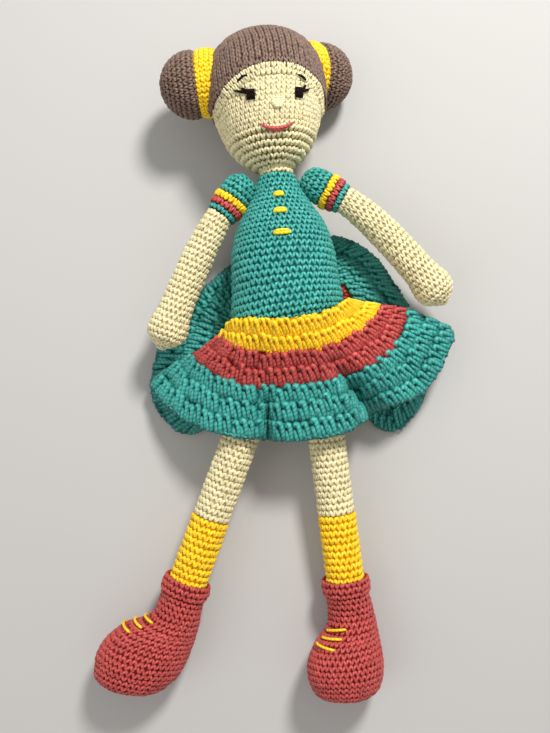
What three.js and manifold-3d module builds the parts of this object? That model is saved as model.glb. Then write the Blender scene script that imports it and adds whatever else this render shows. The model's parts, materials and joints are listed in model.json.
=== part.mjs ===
// Crocheted doll lying on its back: +X to its left side, +Y towards the head, +Z up from the floor.
// Sizes are in millimetres. The waist seam's centre, on the floor, is the working origin of every
// group; at the end the doll is shifted so that the middle of its footprint is the origin.
import * as THREE from 'three';
import { mergeVertices } from 'three/addons/utils/BufferGeometryUtils.js';
import Module from 'manifold-3d';

const wasm = await Module();
wasm.setup();

const degree = Math.PI / 180;
const quarterTurn = Math.PI / 2;
const fullTurn = 2 * Math.PI;

// Clearances and yarn
const gap = 0.3;
const floorCut = 0.5;
const fabricThickness = 2.6;
const yarnRadius = 0.45;
const embroideryRadius = 0.7;
const cutOverrun = 5;
const weldDistance = 1e-4;
// Wide enough, as a block, to reach under any one piece.
const floorReach = 300;

// Facets
const limbSides = 14;
const bodySides = 22;
const strandSides = 5;
const strandArcs = 3;
const strandSteps = 2;
const ballSides = 16;
const socketSides = 24;
const beadSides = 10;
const beadRings = 6;
const neckSteps = 8;
const eggSteps = 12;
const liningSteps = 9;
const clearanceSteps = 14;
const domeSteps = 5;
const hairlineArcs = 3;
const clothSampleShare = 0.01;

// Colours
const creamYarn = 0xe4dcae;
const hairYarn = 0x74564b;
const tealYarn = 0x2f9d8e;
const yellowYarn = 0xf5bd12;
const coralYarn = 0xc23b41;
const darkYarn = 0x2a1a17;
const mouthYarn = 0xc0373f;
const laceYarn = 0xecac2c;
const fibrefill = 0xf4f2ec;
const yarnRoughness = 0.9;

// Torso
const waistHalfWidth = 31;
const torsoDepthShare = 0.92;
const torsoAxisHeight = 32;
const torsoLength = 92.7;
const torsoBottom = -14;
const torsoWall = 3;
const hipTilt = 10 * degree;
const hipTiltTop = 30;
// Each pair is the distance up from the bottom, as a share of the length, and the half width.
const torsoOutlineShares = [
  [0, 0],
  [0.008, 0.32],
  [0.035, 0.6],
  [0.085, 0.84],
  [0.15, 0.975],
  [0.22, 0.99],
  [0.32, 0.955],
  [0.5, 0.92],
  [0.6, 0.87],
  [0.7, 0.77],
  [0.79, 0.62],
  [0.88, 0.47],
  [0.96, 0.365],
  [1, 0.332],
];
const buttonStationsShare = [0.6, 0.735, 0.845];
const buttonHalfWidths = [4.6, 3.6, 2.9];
const buttonHalfHeight = 1.5;
const buttonThickness = 1.6;

// Neck and head
const neckRadius = 9.15;
const neckPivotRise = 3.3;
const headRadius = 31.3;
const headRise = 32;
const crownFullness = 2.55;
const headDrop = 46.5;
const headCentreAboveNeck = 44.5;
const headSideShift = -2.3;
const headOpening = 7;
const headBottomShare = 0.985;
const headWall = 2.6;
const faceTurn = 10.5 * degree;
const headRoll = 1.5 * degree;
const hairThickness = 2;
const hairNape = 26;
const hairSideEdge = 14;
// The hairline, from the face's centre outwards: azimuth share of a quarter turn, height share.
const hairlineShares = [
  [0, 0.12],
  [0.21, 0.096],
  [0.42, -0.01],
  [0.6, -0.15],
  [0.8, -0.33],
  [0.97, -0.5],
];
const bunRadius = 18.5;
const bunReaches = [58.3, 54.5];
const bunRises = [8.8, 12.2];
const bunSetBacks = [12 * degree, 15 * degree];
const bunNeckRadius = 12.5;
const bunUnderRoll = 2.4;
const tieWidth = 11.5;
const tieOuterRadius = 18.3;

// Face: azimuths from the middle of the face, heights below the widest ring of the head
const eyeAzimuths = [26.8 * degree, 23.5 * degree];
const eyeDrop = 12.3;
const eyeWidth = 4.7;
const eyeHeight = 5;
const eyeThickness = 0.9;
const lashReach = 14.5 * degree;
const lashRise = 3.8;
const browAzimuths = [33.2 * degree, 26.5 * degree];
const browHalfSpan = 5.4 * degree;
const browDrop = 4;
const browTilt = 1.4;
const noseDrop = 16.5;
const noseRadius = 2.3;
const mouthDrop = 27;
const mouthHalfSpan = 20.5 * degree;
const mouthSag = 3.6;

// Sleeves and arms; the first of each pair is the doll's right arm, on the -X side
const sideNames = ['right', 'left'];
const sideSigns = [-1, 1];
const shoulderHalfSpan = 21.7;
const shoulderHeight = 72;
const shoulderLift = 32;
const puffRadius = 9.7;
const puffLength = 5.4;
const sleeveBore = 6.2;
const bandWidth = 3.7;
const yellowBandRadius = 9.8;
const redBandRadius = 9.1;
const cuffRadius = 8.1;
const cuffWidth = 2.6;
const sleeveTurns = [40 * degree, 57 * degree];
const armTurns = [26 * degree, 40.5 * degree];
const armLength = 98;
const armWall = 2.2;
const wristRadius = 7.4;
const forearmRadius = 8.8;
const handRadius = 11;
const handEndHeight = 26;
const forearmShare = 0.45;
const wristSwell = 0.8;
const handWidestShare = 1.35;
// The hand's rounded end, as shares of its radius: where its lining narrows, and how wide it is there.
const handLiningShares = [0.35, 0.7];
const handFillingShares = [0.4, 0.6];
const domeShares = [0.2, 0.5, 0.8];
const shoulderSeamRadius = 3.6;

// Legs, socks and boots
const hipHalfSpan = 13.5;
const hipPivotDrop = 22.4;
const hipHeight = 28;
const legRadius = 10;
const legWall = 2.4;
const sockTop = 89;
const sockRadius = 10.3;
const bootTop = 124.5;
const bootHeight = 65.6;
const sockSeat = 14;
const bootShaftRadius = 12;
const footHalfLength = 23.3;
const footHalfWidth = 18.8;
const footForward = 12.5;
const soleStation = 8;
const soleRidge = 0.9;
const bootCuffRadius = 13.2;
const bootCuffWidth = 9;
const legTurns = [24.7 * degree, 3.1 * degree];
const footTurns = [-78 * degree, -42 * degree];
const toeLifts = [0, 10 * degree];
const hipSeamRadius = 5.5;
const laceCount = 3;
const laceHalfWidth = 7;
const laceHeight = 39.4;
const laceSpacing = 3.4;

// Skirt: one circular ruffle worked down from the waist seam in seven tall rows
const skirtLength = 64;
const skirtThickness = 2.6;
const waistShare = 0;
const redShare = 2 / 7;
const tealShare = 4 / 7;
const hemShare = 1;
const frontColumns = 27;
const backColumns = 36;
const rowSteps = [2, 2, 3];
const colourGap = 1;

// Places on the skirt are shares of its length: across, along and up, from the doll's right
// round to its left. Each list follows one edge: waist, yellow to red, red to teal, hem.
const frontSkirtShares = [
  [
    [-0.51, -0.03, 0.5], [-0.48, -0.015, 0.66], [-0.4, -0.015, 0.78], [-0.265, -0.04, 0.9],
    [-0.1, -0.06, 0.957], [0.1, -0.06, 0.957], [0.265, -0.04, 0.9], [0.4, 0, 0.78],
    [0.48, 0.05, 0.66], [0.51, 0.09, 0.53],
  ],
  [
    [-0.59, -0.11, 0.48], [-0.53, -0.165, 0.61], [-0.45, -0.22, 0.7], [-0.31, -0.28, 0.775],
    [-0.11, -0.31, 0.815], [0.1, -0.317, 0.817], [0.3, -0.286, 0.76], [0.5, -0.21, 0.66],
    [0.67, -0.1, 0.56], [0.8, 0.055, 0.45],
  ],
  [
    [-0.865, -0.24, 0.33], [-0.8, -0.32, 0.44], [-0.67, -0.415, 0.55], [-0.45, -0.535, 0.655],
    [-0.165, -0.578, 0.685], [0.09, -0.58, 0.7], [0.375, -0.55, 0.67], [0.64, -0.46, 0.57],
    [0.87, -0.33, 0.47], [1.06, 0, 0.39],
  ],
  [
    [-1.28, -0.43, 0.14], [-1.125, -0.64, 0.31], [-0.875, -0.83, 0.485], [-0.56, -0.96, 0.615],
    [-0.25, -1.015, 0.56], [0.06, -1.04, 0.63], [0.41, -1, 0.63], [0.73, -0.83, 0.42],
    [1.125, -0.71, 0.36], [1.485, -0.21, 0.265],
  ],
];
const backSkirtShares = [
  [
    [0.52, 0, 0.41], [0.52, 0.03, 0.34], [0.485, 0.045, 0.235], [0.44, 0.045, 0.155],
    [0.335, 0.03, 0.09], [0.17, 0.03, 0.035], [0, 0.03, 0.013], [-0.17, 0.03, 0.035],
    [-0.335, 0.03, 0.09], [-0.44, 0.03, 0.155], [-0.485, 0, 0.25], [-0.52, -0.03, 0.34],
    [-0.52, -0.06, 0.41],
  ],
  [
    [0.53, -0.2, 0.21], [0.6, -0.2, 0.15], [0.6, -0.03, 0.12], [0.53, 0.12, 0.09],
    [0.45, 0.18, 0.07], [0.33, 0.2, 0.02], [0.15, 0.21, 0], [-0.08, 0.21, 0],
    [-0.27, 0.19, 0.02], [-0.42, 0.13, 0.075], [-0.5, 0, 0.11], [-0.56, -0.16, 0.155],
    [-0.53, -0.22, 0.21],
  ],
  [
    [0.6, -0.5, 0.06], [0.74, -0.58, 0.05], [0.84, -0.3, 0.06], [0.73, 0.03, 0.09],
    [0.55, 0.25, 0.17], [0.45, 0.38, 0.17], [0.24, 0.44, 0.03], [-0.03, 0.45, 0],
    [-0.3, 0.39, 0.04], [-0.485, 0.22, 0.12], [-0.62, -0.05, 0.1], [-0.77, -0.35, 0.07],
    [-0.66, -0.5, 0.06],
  ],
  [
    [0.66, -0.9, 0.045], [0.92, -1.02, 0.035], [1.18, -0.74, 0.035], [1.19, -0.2, 0.06],
    [1, 0.26, 0.11], [0.8, 0.57, 0.13], [0.5, 0.74, 0.14], [0.08, 0.72, 0.03],
    [-0.36, 0.63, 0.08], [-0.72, 0.36, 0.15], [-1.12, -0.04, 0.09], [-1.26, -0.55, 0.05],
    [-0.92, -0.93, 0.04],
  ],
];

// A closed mesh as a solid that can be cut, and back again.
function solidOf(geometry) {
  const bare = new THREE.BufferGeometry();
  bare.setAttribute('position', geometry.getAttribute('position').clone());
  if (geometry.index) bare.setIndex(geometry.index.clone());
  const merged = mergeVertices(bare, weldDistance);
  const vertProperties = new Float32Array(merged.getAttribute('position').array);
  const triVerts = new Uint32Array(merged.index.array);
  return new wasm.Manifold(new wasm.Mesh({ numProp: 3, vertProperties, triVerts }));
}

function geometryOf(solid) {
  const mesh = solid.getMesh();
  const geometry = new THREE.BufferGeometry();
  geometry.setAttribute('position', new THREE.BufferAttribute(new Float32Array(mesh.vertProperties), 3));
  geometry.setIndex(new THREE.BufferAttribute(new Uint32Array(mesh.triVerts), 1));
  geometry.computeVertexNormals();
  return geometry;
}

// Cuts each of the other shapes away from the first.
function cutAway(geometry, ...others) {
  let solid = solidOf(geometry);
  for (const other of others) {
    solid = solid.subtract(solidOf(other));
  }
  return geometryOf(solid);
}

function ball(radius, centre, sides = ballSides) {
  const geometry = new THREE.SphereGeometry(radius, sides, sides / 2);
  geometry.translate(centre.x, centre.y, centre.z);
  return geometry;
}

// Joins rings of points into one closed skin. A ring of one point is a pole; with no poles the
// last ring meets the first, as round a hoop.
function skinRings(rings) {
  const positions = [];
  const firsts = [];
  for (const ring of rings) {
    firsts.push(positions.length / 3);
    ring.forEach((p) => positions.push(p.x, p.y, p.z));
  }
  const faces = [];
  const hoop = rings[0].length > 1;
  const joins = hoop ? rings.length : rings.length - 1;
  for (let r = 0; r < joins; r += 1) {
    const next = (r + 1) % rings.length;
    const low = rings[r].length;
    const high = rings[next].length;
    const count = Math.max(low, high);
    for (let i = 0; i < count; i += 1) {
      const j = (i + 1) % count;
      const a = firsts[r] + (i % low);
      const b = firsts[r] + (j % low);
      const c = firsts[next] + (j % high);
      const d = firsts[next] + (i % high);
      if (low > 1) faces.push(a, b, c);
      if (high > 1) faces.push(a, c, d);
    }
  }
  const geometry = new THREE.BufferGeometry();
  geometry.setAttribute('position', new THREE.Float32BufferAttribute(positions, 3));
  geometry.setIndex(faces);
  return facingOut(geometry);
}

// Turns the faces over where they point into the body.
function facingOut(geometry) {
  const place = geometry.getAttribute('position');
  const index = geometry.index.array;
  const corners = [new THREE.Vector3(), new THREE.Vector3(), new THREE.Vector3()];
  let volume = 0;
  for (let i = 0; i < index.length; i += 3) {
    corners.forEach((corner, k) => corner.fromBufferAttribute(place, index[i + k]));
    volume += corners[0].dot(corners[1].clone().cross(corners[2]));
  }
  if (volume < 0) {
    for (let i = 0; i < index.length; i += 3) {
      [index[i + 1], index[i + 2]] = [index[i + 2], index[i + 1]];
    }
  }
  geometry.computeVertexNormals();
  return geometry;
}

// A surface turned about Y from pairs of radius and height, its ends on the axis or closed.
function turned(pairs, sides) {
  const rings = pairs.map(([radius, height]) => {
    if (radius === 0) return [new THREE.Vector3(0, height, 0)];
    return Array.from({ length: sides }, (_, i) => {
      const angle = (i / sides) * fullTurn;
      return new THREE.Vector3(radius * Math.sin(angle), height, radius * Math.cos(angle));
    });
  });
  return skinRings(rings);
}

// An egg's half width at a height above its widest ring. Its crown is fuller than an ellipse.
function eggRadius(height, radius, rise, drop) {
  const power = height > 0 ? crownFullness : 2;
  const reach = height > 0 ? rise : drop;
  return radius * Math.max(0, 1 - Math.abs(height / reach) ** power) ** (1 / power);
}

// Pairs of radius and height down an egg's outline, from its top pole to the given height.
function eggOutline(radius, rise, drop, lowest, steps) {
  const start = quarterTurn;
  const end = Math.asin(Math.max(-1, lowest / drop));
  return Array.from({ length: steps + 1 }, (_, i) => {
    const angle = start + ((end - start) * i) / steps;
    const crown = Math.sin(Math.max(0, angle)) ** (2 / crownFullness);
    const height = angle > 0 ? rise * crown : drop * Math.sin(angle);
    return [i === 0 ? 0 : eggRadius(height, radius, rise, drop), height];
  });
}

// A yarn strand of round section along a smooth run of points.
function strand(points, radius) {
  const circle = new THREE.Shape();
  circle.absarc(0, 0, radius, 0, fullTurn);
  const route = new THREE.CatmullRomCurve3(points);
  const steps = strandSteps * Math.max(1, points.length - 1);
  const options = { steps, curveSegments: strandArcs, bevelEnabled: false, extrudePath: route };
  return new THREE.ExtrudeGeometry(circle, options);
}

function part(name, geometry, color, parent) {
  const material = new THREE.MeshStandardMaterial({ color, roughness: yarnRoughness, metalness: 0 });
  const mesh = new THREE.Mesh(geometry, material);
  mesh.name = name;
  parent.add(mesh);
  return mesh;
}

function groupAt(parent, x, y, z) {
  const group = new THREE.Group();
  group.position.set(x, y, z);
  parent.add(group);
  return group;
}

const doll = new THREE.Group();

// Torso

// The lower body leans with the hips, less and less up to where the lean ends.
function lean(x, y) {
  const share = THREE.MathUtils.clamp((hipTiltTop - y) / (hipTiltTop - torsoBottom), 0, 1);
  return x * Math.tan(hipTilt) * share;
}

function leanGeometry(geometry) {
  const place = geometry.getAttribute('position');
  for (let i = 0; i < place.count; i += 1) {
    place.setY(i, place.getY(i) + lean(place.getX(i), place.getY(i)));
  }
  geometry.computeVertexNormals();
  return geometry;
}

const torsoTop = torsoBottom + torsoLength;
const torsoOutline = torsoOutlineShares.map(([along, across]) => [
  across * waistHalfWidth,
  torsoBottom + along * torsoLength,
]);
const torsoInner = torsoOutline
  .slice(2)
  .map(([radius, height]) => [radius - torsoWall, Math.max(height, torsoBottom + torsoWall)]);
torsoInner.unshift([0, torsoBottom + torsoWall]);
torsoInner.splice(1, 1);

function torsoRadius(height) {
  const upper = torsoOutline.findIndex(([, y]) => y >= height);
  const [r0, y0] = torsoOutline[upper - 1];
  const [r1, y1] = torsoOutline[upper];
  return r0 + ((r1 - r0) * (height - y0)) / (y1 - y0);
}

const torsoGroup = groupAt(doll, 0, 0, torsoAxisHeight);
const hipPlaces = sideSigns.map((sign) => {
  const x = sign * hipHalfSpan;
  return new THREE.Vector3(x, lean(x, torsoBottom) - hipPivotDrop, hipHeight);
});
const shoulderPlaces = sideSigns.map(
  (sign) => new THREE.Vector3(sign * shoulderHalfSpan, shoulderHeight, shoulderLift),
);
const seamRoom = 2 * gap + 2 * yarnRadius;

function torsoSockets(extra) {
  const toTorso = new THREE.Vector3(0, 0, -torsoAxisHeight);
  const socket = (place, radius) =>
    ball(radius + seamRoom + extra, place.clone().add(toTorso), socketSides);
  const shoulders = shoulderPlaces.map((place) => socket(place, puffRadius));
  const hips = hipPlaces.map((place) => socket(place, legRadius));
  return [...shoulders, ...hips];
}

function buildTorso() {
  const cup = turned([...torsoOutline, ...torsoInner.slice().reverse()], bodySides);
  cup.scale(1, 1, torsoDepthShare);
  part('torso', cutAway(leanGeometry(cup), ...torsoSockets(0)), tealYarn, torsoGroup);

  const filling = torsoInner.map(([radius, height], i) => {
    const lowest = i === 0 || height < torsoBottom + torsoWall + gap;
    return [Math.max(0, radius - gap), lowest ? torsoBottom + torsoWall + gap : height];
  });
  const stuffing = turned([...filling, [0, torsoTop]], bodySides);
  stuffing.scale(1, 1, torsoDepthShare);
  part('torso_stuffing', cutAway(leanGeometry(stuffing), ...torsoSockets(gap)), fibrefill, torsoGroup);

  buttonStationsShare.forEach((share, i) => {
    const height = torsoBottom + share * torsoLength;
    const button = new THREE.SphereGeometry(1, beadSides, beadRings);
    button.scale(buttonHalfWidths[i], buttonHalfHeight, buttonThickness / 2);
    const slope = Math.atan2(torsoRadius(height - 1) - torsoRadius(height + 1), 2);
    const front = torsoRadius(height) * torsoDepthShare;
    const mesh = part(`button_stitch_${i + 1}`, button, yellowYarn, torsoGroup);
    const lift = gap + buttonThickness / 2;
    mesh.position.set(0, height + lift * Math.sin(slope), front + lift);
    mesh.rotation.x = -slope;
  });
}

// Neck and head

const neckPivot = new THREE.Vector3(0, torsoTop + neckPivotRise, torsoAxisHeight);
const headHeight = headRadius + hairThickness - floorCut;
const headCentre = new THREE.Vector3(headSideShift, neckPivot.y + headCentreAboveNeck, headHeight);

function buildNeck() {
  const bottom = torsoTop + gap - neckPivot.y;
  const start = Math.asin(bottom / neckRadius);
  const outline = [[0, bottom]];
  for (let i = 0; i < neckSteps; i += 1) {
    const angle = start + ((quarterTurn - start) * i) / neckSteps;
    outline.push([neckRadius * Math.cos(angle), neckRadius * Math.sin(angle)]);
  }
  outline.push([0, neckRadius]);
  const group = groupAt(doll, neckPivot.x, neckPivot.y, neckPivot.z);
  part('neck', turned(outline, limbSides), creamYarn, group);
}

const headGroup = groupAt(doll, headCentre.x, headCentre.y, headCentre.z);
headGroup.rotation.order = 'ZYX';
headGroup.rotation.y = faceTurn;
headGroup.rotation.z = headRoll;

// The floor as a block, seen in a group's own frame.
function floorBlock(group, reach) {
  doll.updateMatrixWorld(true);
  const middle = new THREE.Vector3().setFromMatrixPosition(group.matrixWorld);
  const block = new THREE.BoxGeometry(reach, reach, reach);
  block.translate(middle.x, middle.y, -reach / 2);
  return block.applyMatrix4(group.matrixWorld.clone().invert());
}

function onHead(azimuth, height, lift) {
  const radius = eggRadius(height, headRadius, headRise, headDrop);
  const reach = height > 0 ? headRise : headDrop;
  const normal = new THREE.Vector2(radius / headRadius ** 2, height / reach ** 2).normalize();
  const out = radius + lift * normal.x;
  return new THREE.Vector3(out * Math.sin(azimuth), height + lift * normal.y, out * Math.cos(azimuth));
}

function neckBall(extra) {
  doll.updateMatrixWorld(true);
  const centre = headGroup.worldToLocal(neckPivot.clone());
  return ball(neckRadius + extra, centre);
}

function insetEgg(inset, lowest) {
  return eggOutline(headRadius - inset, headRise - inset, headDrop - inset, lowest + inset, liningSteps);
}

function buildHead() {
  const lowest = -headDrop * headBottomShare;
  const outer = eggOutline(headRadius, headRise, headDrop, lowest, eggSteps);
  const inside = insetEgg(headWall, lowest);
  const rim = [headOpening, lowest];
  inside[inside.length - 1] = [headOpening, inside[inside.length - 1][1]];
  const cup = turned([...outer, rim, ...inside.reverse()], bodySides);
  const floorShape = floorBlock(headGroup, floorReach);
  part('head', cutAway(cup, neckBall(2 * gap), floorShape), creamYarn, headGroup);

  const inset = headWall + gap;
  const filling = insetEgg(inset, lowest);
  const stuffing = turned([...filling, [0, lowest + inset]], bodySides);
  part('head_stuffing', cutAway(stuffing, neckBall(3 * gap)), fibrefill, headGroup);

  buildHair(floorShape);
  buildFace();
}

function buildHair(floorShape) {
  const outside = headRadius + hairThickness;
  const outer = eggOutline(
    outside,
    headRise + hairThickness,
    headDrop + hairThickness,
    -hairNape,
    liningSteps,
  );
  const inside = eggOutline(headRadius + gap, headRise + gap, headDrop + gap, -hairNape, liningSteps);
  const cap = turned([...outer, ...inside.reverse()], bodySides);

  const half = hairlineShares.map(([turnShare, heightShare]) => {
    const height = heightShare * headRadius;
    return new THREE.Vector2(outside * Math.sin(turnShare * quarterTurn), height);
  });
  const arch = new THREE.Shape();
  arch.moveTo(-outside - cutOverrun, -hairNape - cutOverrun);
  arch.lineTo(outside + cutOverrun, -hairNape - cutOverrun);
  arch.lineTo(outside + cutOverrun, half[half.length - 1].y);
  arch.splineThru(half.slice().reverse());
  arch.splineThru(half.slice(1).map((p) => new THREE.Vector2(-p.x, p.y)));
  arch.lineTo(-outside - cutOverrun, half[half.length - 1].y);
  const depth = outside + cutOverrun + hairSideEdge;
  const archOptions = { depth, bevelEnabled: false, curveSegments: hairlineArcs };
  const window = new THREE.ExtrudeGeometry(arch, archOptions);
  window.translate(0, 0, -hairSideEdge);
  part('hair_cap', cutAway(cap, window, floorShape), hairYarn, headGroup);

  const clearEgg = (extra) => {
    const rise = headRise + hairThickness + extra;
    const outline = eggOutline(outside + extra, rise, headDrop, -headDrop, clearanceSteps);
    outline[outline.length - 1][0] = 0;
    return turned(outline, bodySides);
  };
  sideNames.forEach((name, i) => {
    const turn = sideSigns[i] * (quarterTurn + bunSetBacks[i]);
    const pieces = [
      ['bun', bunProfile(bunReaches[i]), hairYarn],
      ['hair_tie', tieProfile(bunReaches[i]), yellowYarn],
    ];
    for (const [label, outline, color] of pieces) {
      const shape = turned(outline, limbSides + 2);
      shape.rotateX(quarterTurn);
      shape.rotateY(turn);
      shape.translate(0, bunRises[i], 0);
      part(`${name}_${label}`, cutAway(shape, clearEgg(gap), floorShape), color, headGroup);
    }
  });
}

// A bun is a half egg on a short stem, and the tie is a padded hoop round the stem.
function bunProfile(reach) {
  const base = reach - bunRadius;
  const underside = base - bunUnderRoll;
  const outline = [[0, reach]];
  for (let i = 1; i <= domeSteps; i += 1) {
    const angle = quarterTurn - (i / domeSteps) * quarterTurn;
    outline.push([bunRadius * Math.cos(angle), base + bunRadius * Math.sin(angle)]);
  }
  outline.push([bunRadius - bunUnderRoll / 2, underside]);
  outline.push([bunNeckRadius, underside]);
  outline.push([bunNeckRadius, bunRadius]);
  outline.push([0, bunRadius]);
  return outline;
}

function tieProfile(reach) {
  const outerEnd = reach - bunRadius - bunUnderRoll - gap;
  const innerEnd = outerEnd - tieWidth;
  const inner = bunNeckRadius + gap;
  const roll = tieOuterRadius - (tieOuterRadius - inner) / 4;
  return [
    [inner, outerEnd],
    [roll, outerEnd],
    [tieOuterRadius, outerEnd - tieWidth / 4],
    [tieOuterRadius, innerEnd + tieWidth / 4],
    [roll, innerEnd],
    [inner, innerEnd],
  ];
}

function faceStrand(name, places, color, radius) {
  const points = places.map(([azimuth, height]) => onHead(azimuth, height, radius + gap));
  part(name, strand(points, radius), color, headGroup);
}

function buildFace() {
  sideNames.forEach((name, i) => {
    const sign = sideSigns[i];
    const eye = new THREE.BoxGeometry(eyeWidth, eyeHeight, eyeThickness);
    const mesh = part(`${name}_eye`, eye, darkYarn, headGroup);
    mesh.position.copy(onHead(sign * eyeAzimuths[i], -eyeDrop, eyeThickness / 2 + gap));
    mesh.rotation.order = 'YXZ';
    mesh.rotation.y = sign * eyeAzimuths[i];
    mesh.rotation.x = Math.atan2(eyeDrop * headRadius, headDrop * headDrop);
    const lashStart = eyeAzimuths[i] + Math.asin((eyeWidth / 2 + gap + yarnRadius) / headRadius);
    const lash = [
      [sign * lashStart, -eyeDrop + eyeHeight / 4],
      [sign * (lashStart + lashReach / 2), -eyeDrop + lashRise / 2],
      [sign * (eyeAzimuths[i] + lashReach), -eyeDrop + lashRise],
    ];
    faceStrand(`${name}_lashes`, lash, darkYarn, embroideryRadius);
    const brow = [
      [sign * (browAzimuths[i] - browHalfSpan), -browDrop],
      [sign * browAzimuths[i], -browDrop + browTilt / 2],
      [sign * (browAzimuths[i] + browHalfSpan), -browDrop - browTilt],
    ];
    faceStrand(`${name}_brow`, brow, darkYarn, yarnRadius);
  });
  const nose = new THREE.SphereGeometry(noseRadius, beadSides, beadRings);
  nose.scale(1, 1, 1 / 2);
  const noseMesh = part('nose', nose, creamYarn, headGroup);
  noseMesh.position.copy(onHead(0, -noseDrop, noseRadius / 2 + gap));
  noseMesh.rotation.x = Math.atan2(noseDrop * headRadius, headDrop * headDrop);
  const smile = [-1, -1 / 2, 0, 1 / 2, 1].map((share) => [
    share * mouthHalfSpan,
    -mouthDrop - mouthSag * (1 - share ** 2),
  ]);
  faceStrand('mouth', smile, mouthYarn, embroideryRadius);
}

// Sleeves and arms

function buildSeam(name, place, towards, ballRadius, seamRadius, color) {
  const middle = ballRadius + gap + yarnRadius;
  const torus = new THREE.TorusGeometry(seamRadius, yarnRadius, strandSides, limbSides);
  const seam = part(name, torus, color, doll);
  const offset = Math.sqrt(middle ** 2 - seamRadius ** 2);
  seam.position.copy(place).addScaledVector(towards, offset);
  seam.quaternion.setFromUnitVectors(new THREE.Vector3(0, 0, 1), towards);
}

function hoop(inner, outer, start, end) {
  const edge = (outer - inner) / 3;
  const outline = [
    [inner, -start],
    [outer - edge, -start],
    [outer, -start - edge],
    [outer, -end + edge],
    [outer - edge, -end],
    [inner, -end],
  ];
  return turned(outline, limbSides);
}

// Rings of points square to a curve, with the radius at each share of its length.
function ringsAlong(curve, stations) {
  const side = new THREE.Vector3(0, 0, 1);
  return stations.map(([share, radius]) => {
    const centre = curve.getPointAt(share);
    if (radius === 0) return [centre];
    const along = curve.getTangentAt(share);
    const across = new THREE.Vector3().crossVectors(along, side).normalize();
    const up = new THREE.Vector3().crossVectors(across, along).normalize();
    return Array.from({ length: limbSides }, (_, i) => {
      const angle = (i / limbSides) * fullTurn;
      const point = centre.clone().addScaledVector(across, radius * Math.cos(angle));
      return point.addScaledVector(up, radius * Math.sin(angle));
    });
  });
}

function buildArm(i) {
  const name = sideNames[i];
  const sign = sideSigns[i];
  const place = shoulderPlaces[i];
  const group = groupAt(doll, place.x, place.y, place.z);
  group.rotation.z = sign * sleeveTurns[i];

  const puff = [[0, puffRadius]];
  for (let k = 1; k < domeSteps; k += 1) {
    const angle = quarterTurn - (k / domeSteps) * quarterTurn;
    puff.push([puffRadius * Math.cos(angle), puffRadius * Math.sin(angle)]);
  }
  puff.push([puffRadius, 0], [puffRadius, -puffLength], [sleeveBore, -puffLength], [sleeveBore, 0], [0, 0]);
  part(`${name}_sleeve_puff`, turned(puff, limbSides), tealYarn, group);

  const bands = [
    ['sleeve_yellow_band', yellowBandRadius, bandWidth, yellowYarn],
    ['sleeve_red_band', redBandRadius, bandWidth, coralYarn],
    ['sleeve_cuff', cuffRadius, cuffWidth, tealYarn],
  ];
  let start = puffLength + gap;
  for (const [label, radius, width, color] of bands) {
    part(`${name}_${label}`, hoop(sleeveBore, radius, start, start + width), color, group);
    start += width + gap;
  }

  const bend = sleeveTurns[i] - armTurns[i];
  const shaftEnd = start;
  const reach = armLength - shaftEnd;
  const inSleeve = new THREE.Vector3(0, -shaftEnd, 0);
  const handEnd = new THREE.Vector3(
    -sign * reach * Math.sin(bend),
    -shaftEnd - reach * Math.cos(bend),
    handEndHeight - shoulderLift,
  );
  const elbow = new THREE.Vector3(0, -shaftEnd - reach / 4, 0);
  const curve = new THREE.CurvePath();
  curve.add(new THREE.LineCurve3(new THREE.Vector3(0, -gap, 0), inSleeve));
  curve.add(new THREE.QuadraticBezierCurve3(inSleeve, elbow, handEnd));
  const length = curve.getLength();
  const shank = shaftEnd / length;
  const handStart = 1 - (2 * handRadius) / length;
  const slim = sleeveBore - gap;
  const dome = (share, radius) => {
    const height = 1 - (1 - share) * (handRadius / length);
    return [height, radius * Math.cos(share * quarterTurn)];
  };
  const armStations = (inset) => [
    [shank, wristRadius - inset],
    [shank + (handStart - shank) * forearmShare, forearmRadius - inset],
    [handStart, forearmRadius + wristSwell - inset],
    [1 - (handWidestShare * handRadius) / length, handRadius - inset],
  ];
  const outer = [
    [0, slim],
    [shank - gap / length, slim],
    ...armStations(0),
    ...domeShares.map((share) => dome(share, handRadius)),
    [1, 0],
  ];
  const tip = 1 - armWall / length;
  const inner = [
    [0, slim - armWall],
    [shank, slim - armWall],
    ...armStations(armWall).slice(1),
    [tip - (handLiningShares[0] * handRadius) / length, handLiningShares[1] * (handRadius - armWall)],
    [tip, 0],
  ];
  const shell = [...ringsAlong(curve, outer).reverse(), ...ringsAlong(curve, inner)];
  part(`${name}_arm`, skinRings(shell), creamYarn, group);

  const inset = armWall + gap;
  const filling = [
    [0, 0],
    [0, slim - inset],
    [shank, slim - inset],
    ...armStations(inset).slice(1),
    [tip - (handFillingShares[0] * handRadius) / length, handFillingShares[1] * (handRadius - inset)],
    [tip - (2 * gap) / length, 0],
  ];
  part(`${name}_arm_stuffing`, skinRings(ringsAlong(curve, filling)), fibrefill, group);

  const towards = new THREE.Vector3(-sign, 0, 0);
  buildSeam(`${name}_shoulder_seam`, place, towards, puffRadius, shoulderSeamRadius, tealYarn);
}

// Legs, socks and boots

// Each boot section: height above the sole, how far its middle lies towards the toe, half its
// length and half its width, as shares of the boot's height, forward set and foot sizes.
const bootSectionShares = [
  [0.765, -0.06, 0.525, 0.65],
  [0.657, -0.09, 0.56, 0.68],
  [0.59, 0.02, 0.63, 0.73],
  [0.486, 0.42, 0.86, 0.86],
  [0.346, 0.68, 0.99, 0.98],
  [0.22, 0.8, 1, 1],
  [0.143, 0.86, 0.925, 0.955],
  [0.075, 0.92, 0.84, 0.86],
  [0.03, 1, 0.68, 0.7],
  [0, 0.96, 0.4, 0.42],
];

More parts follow.
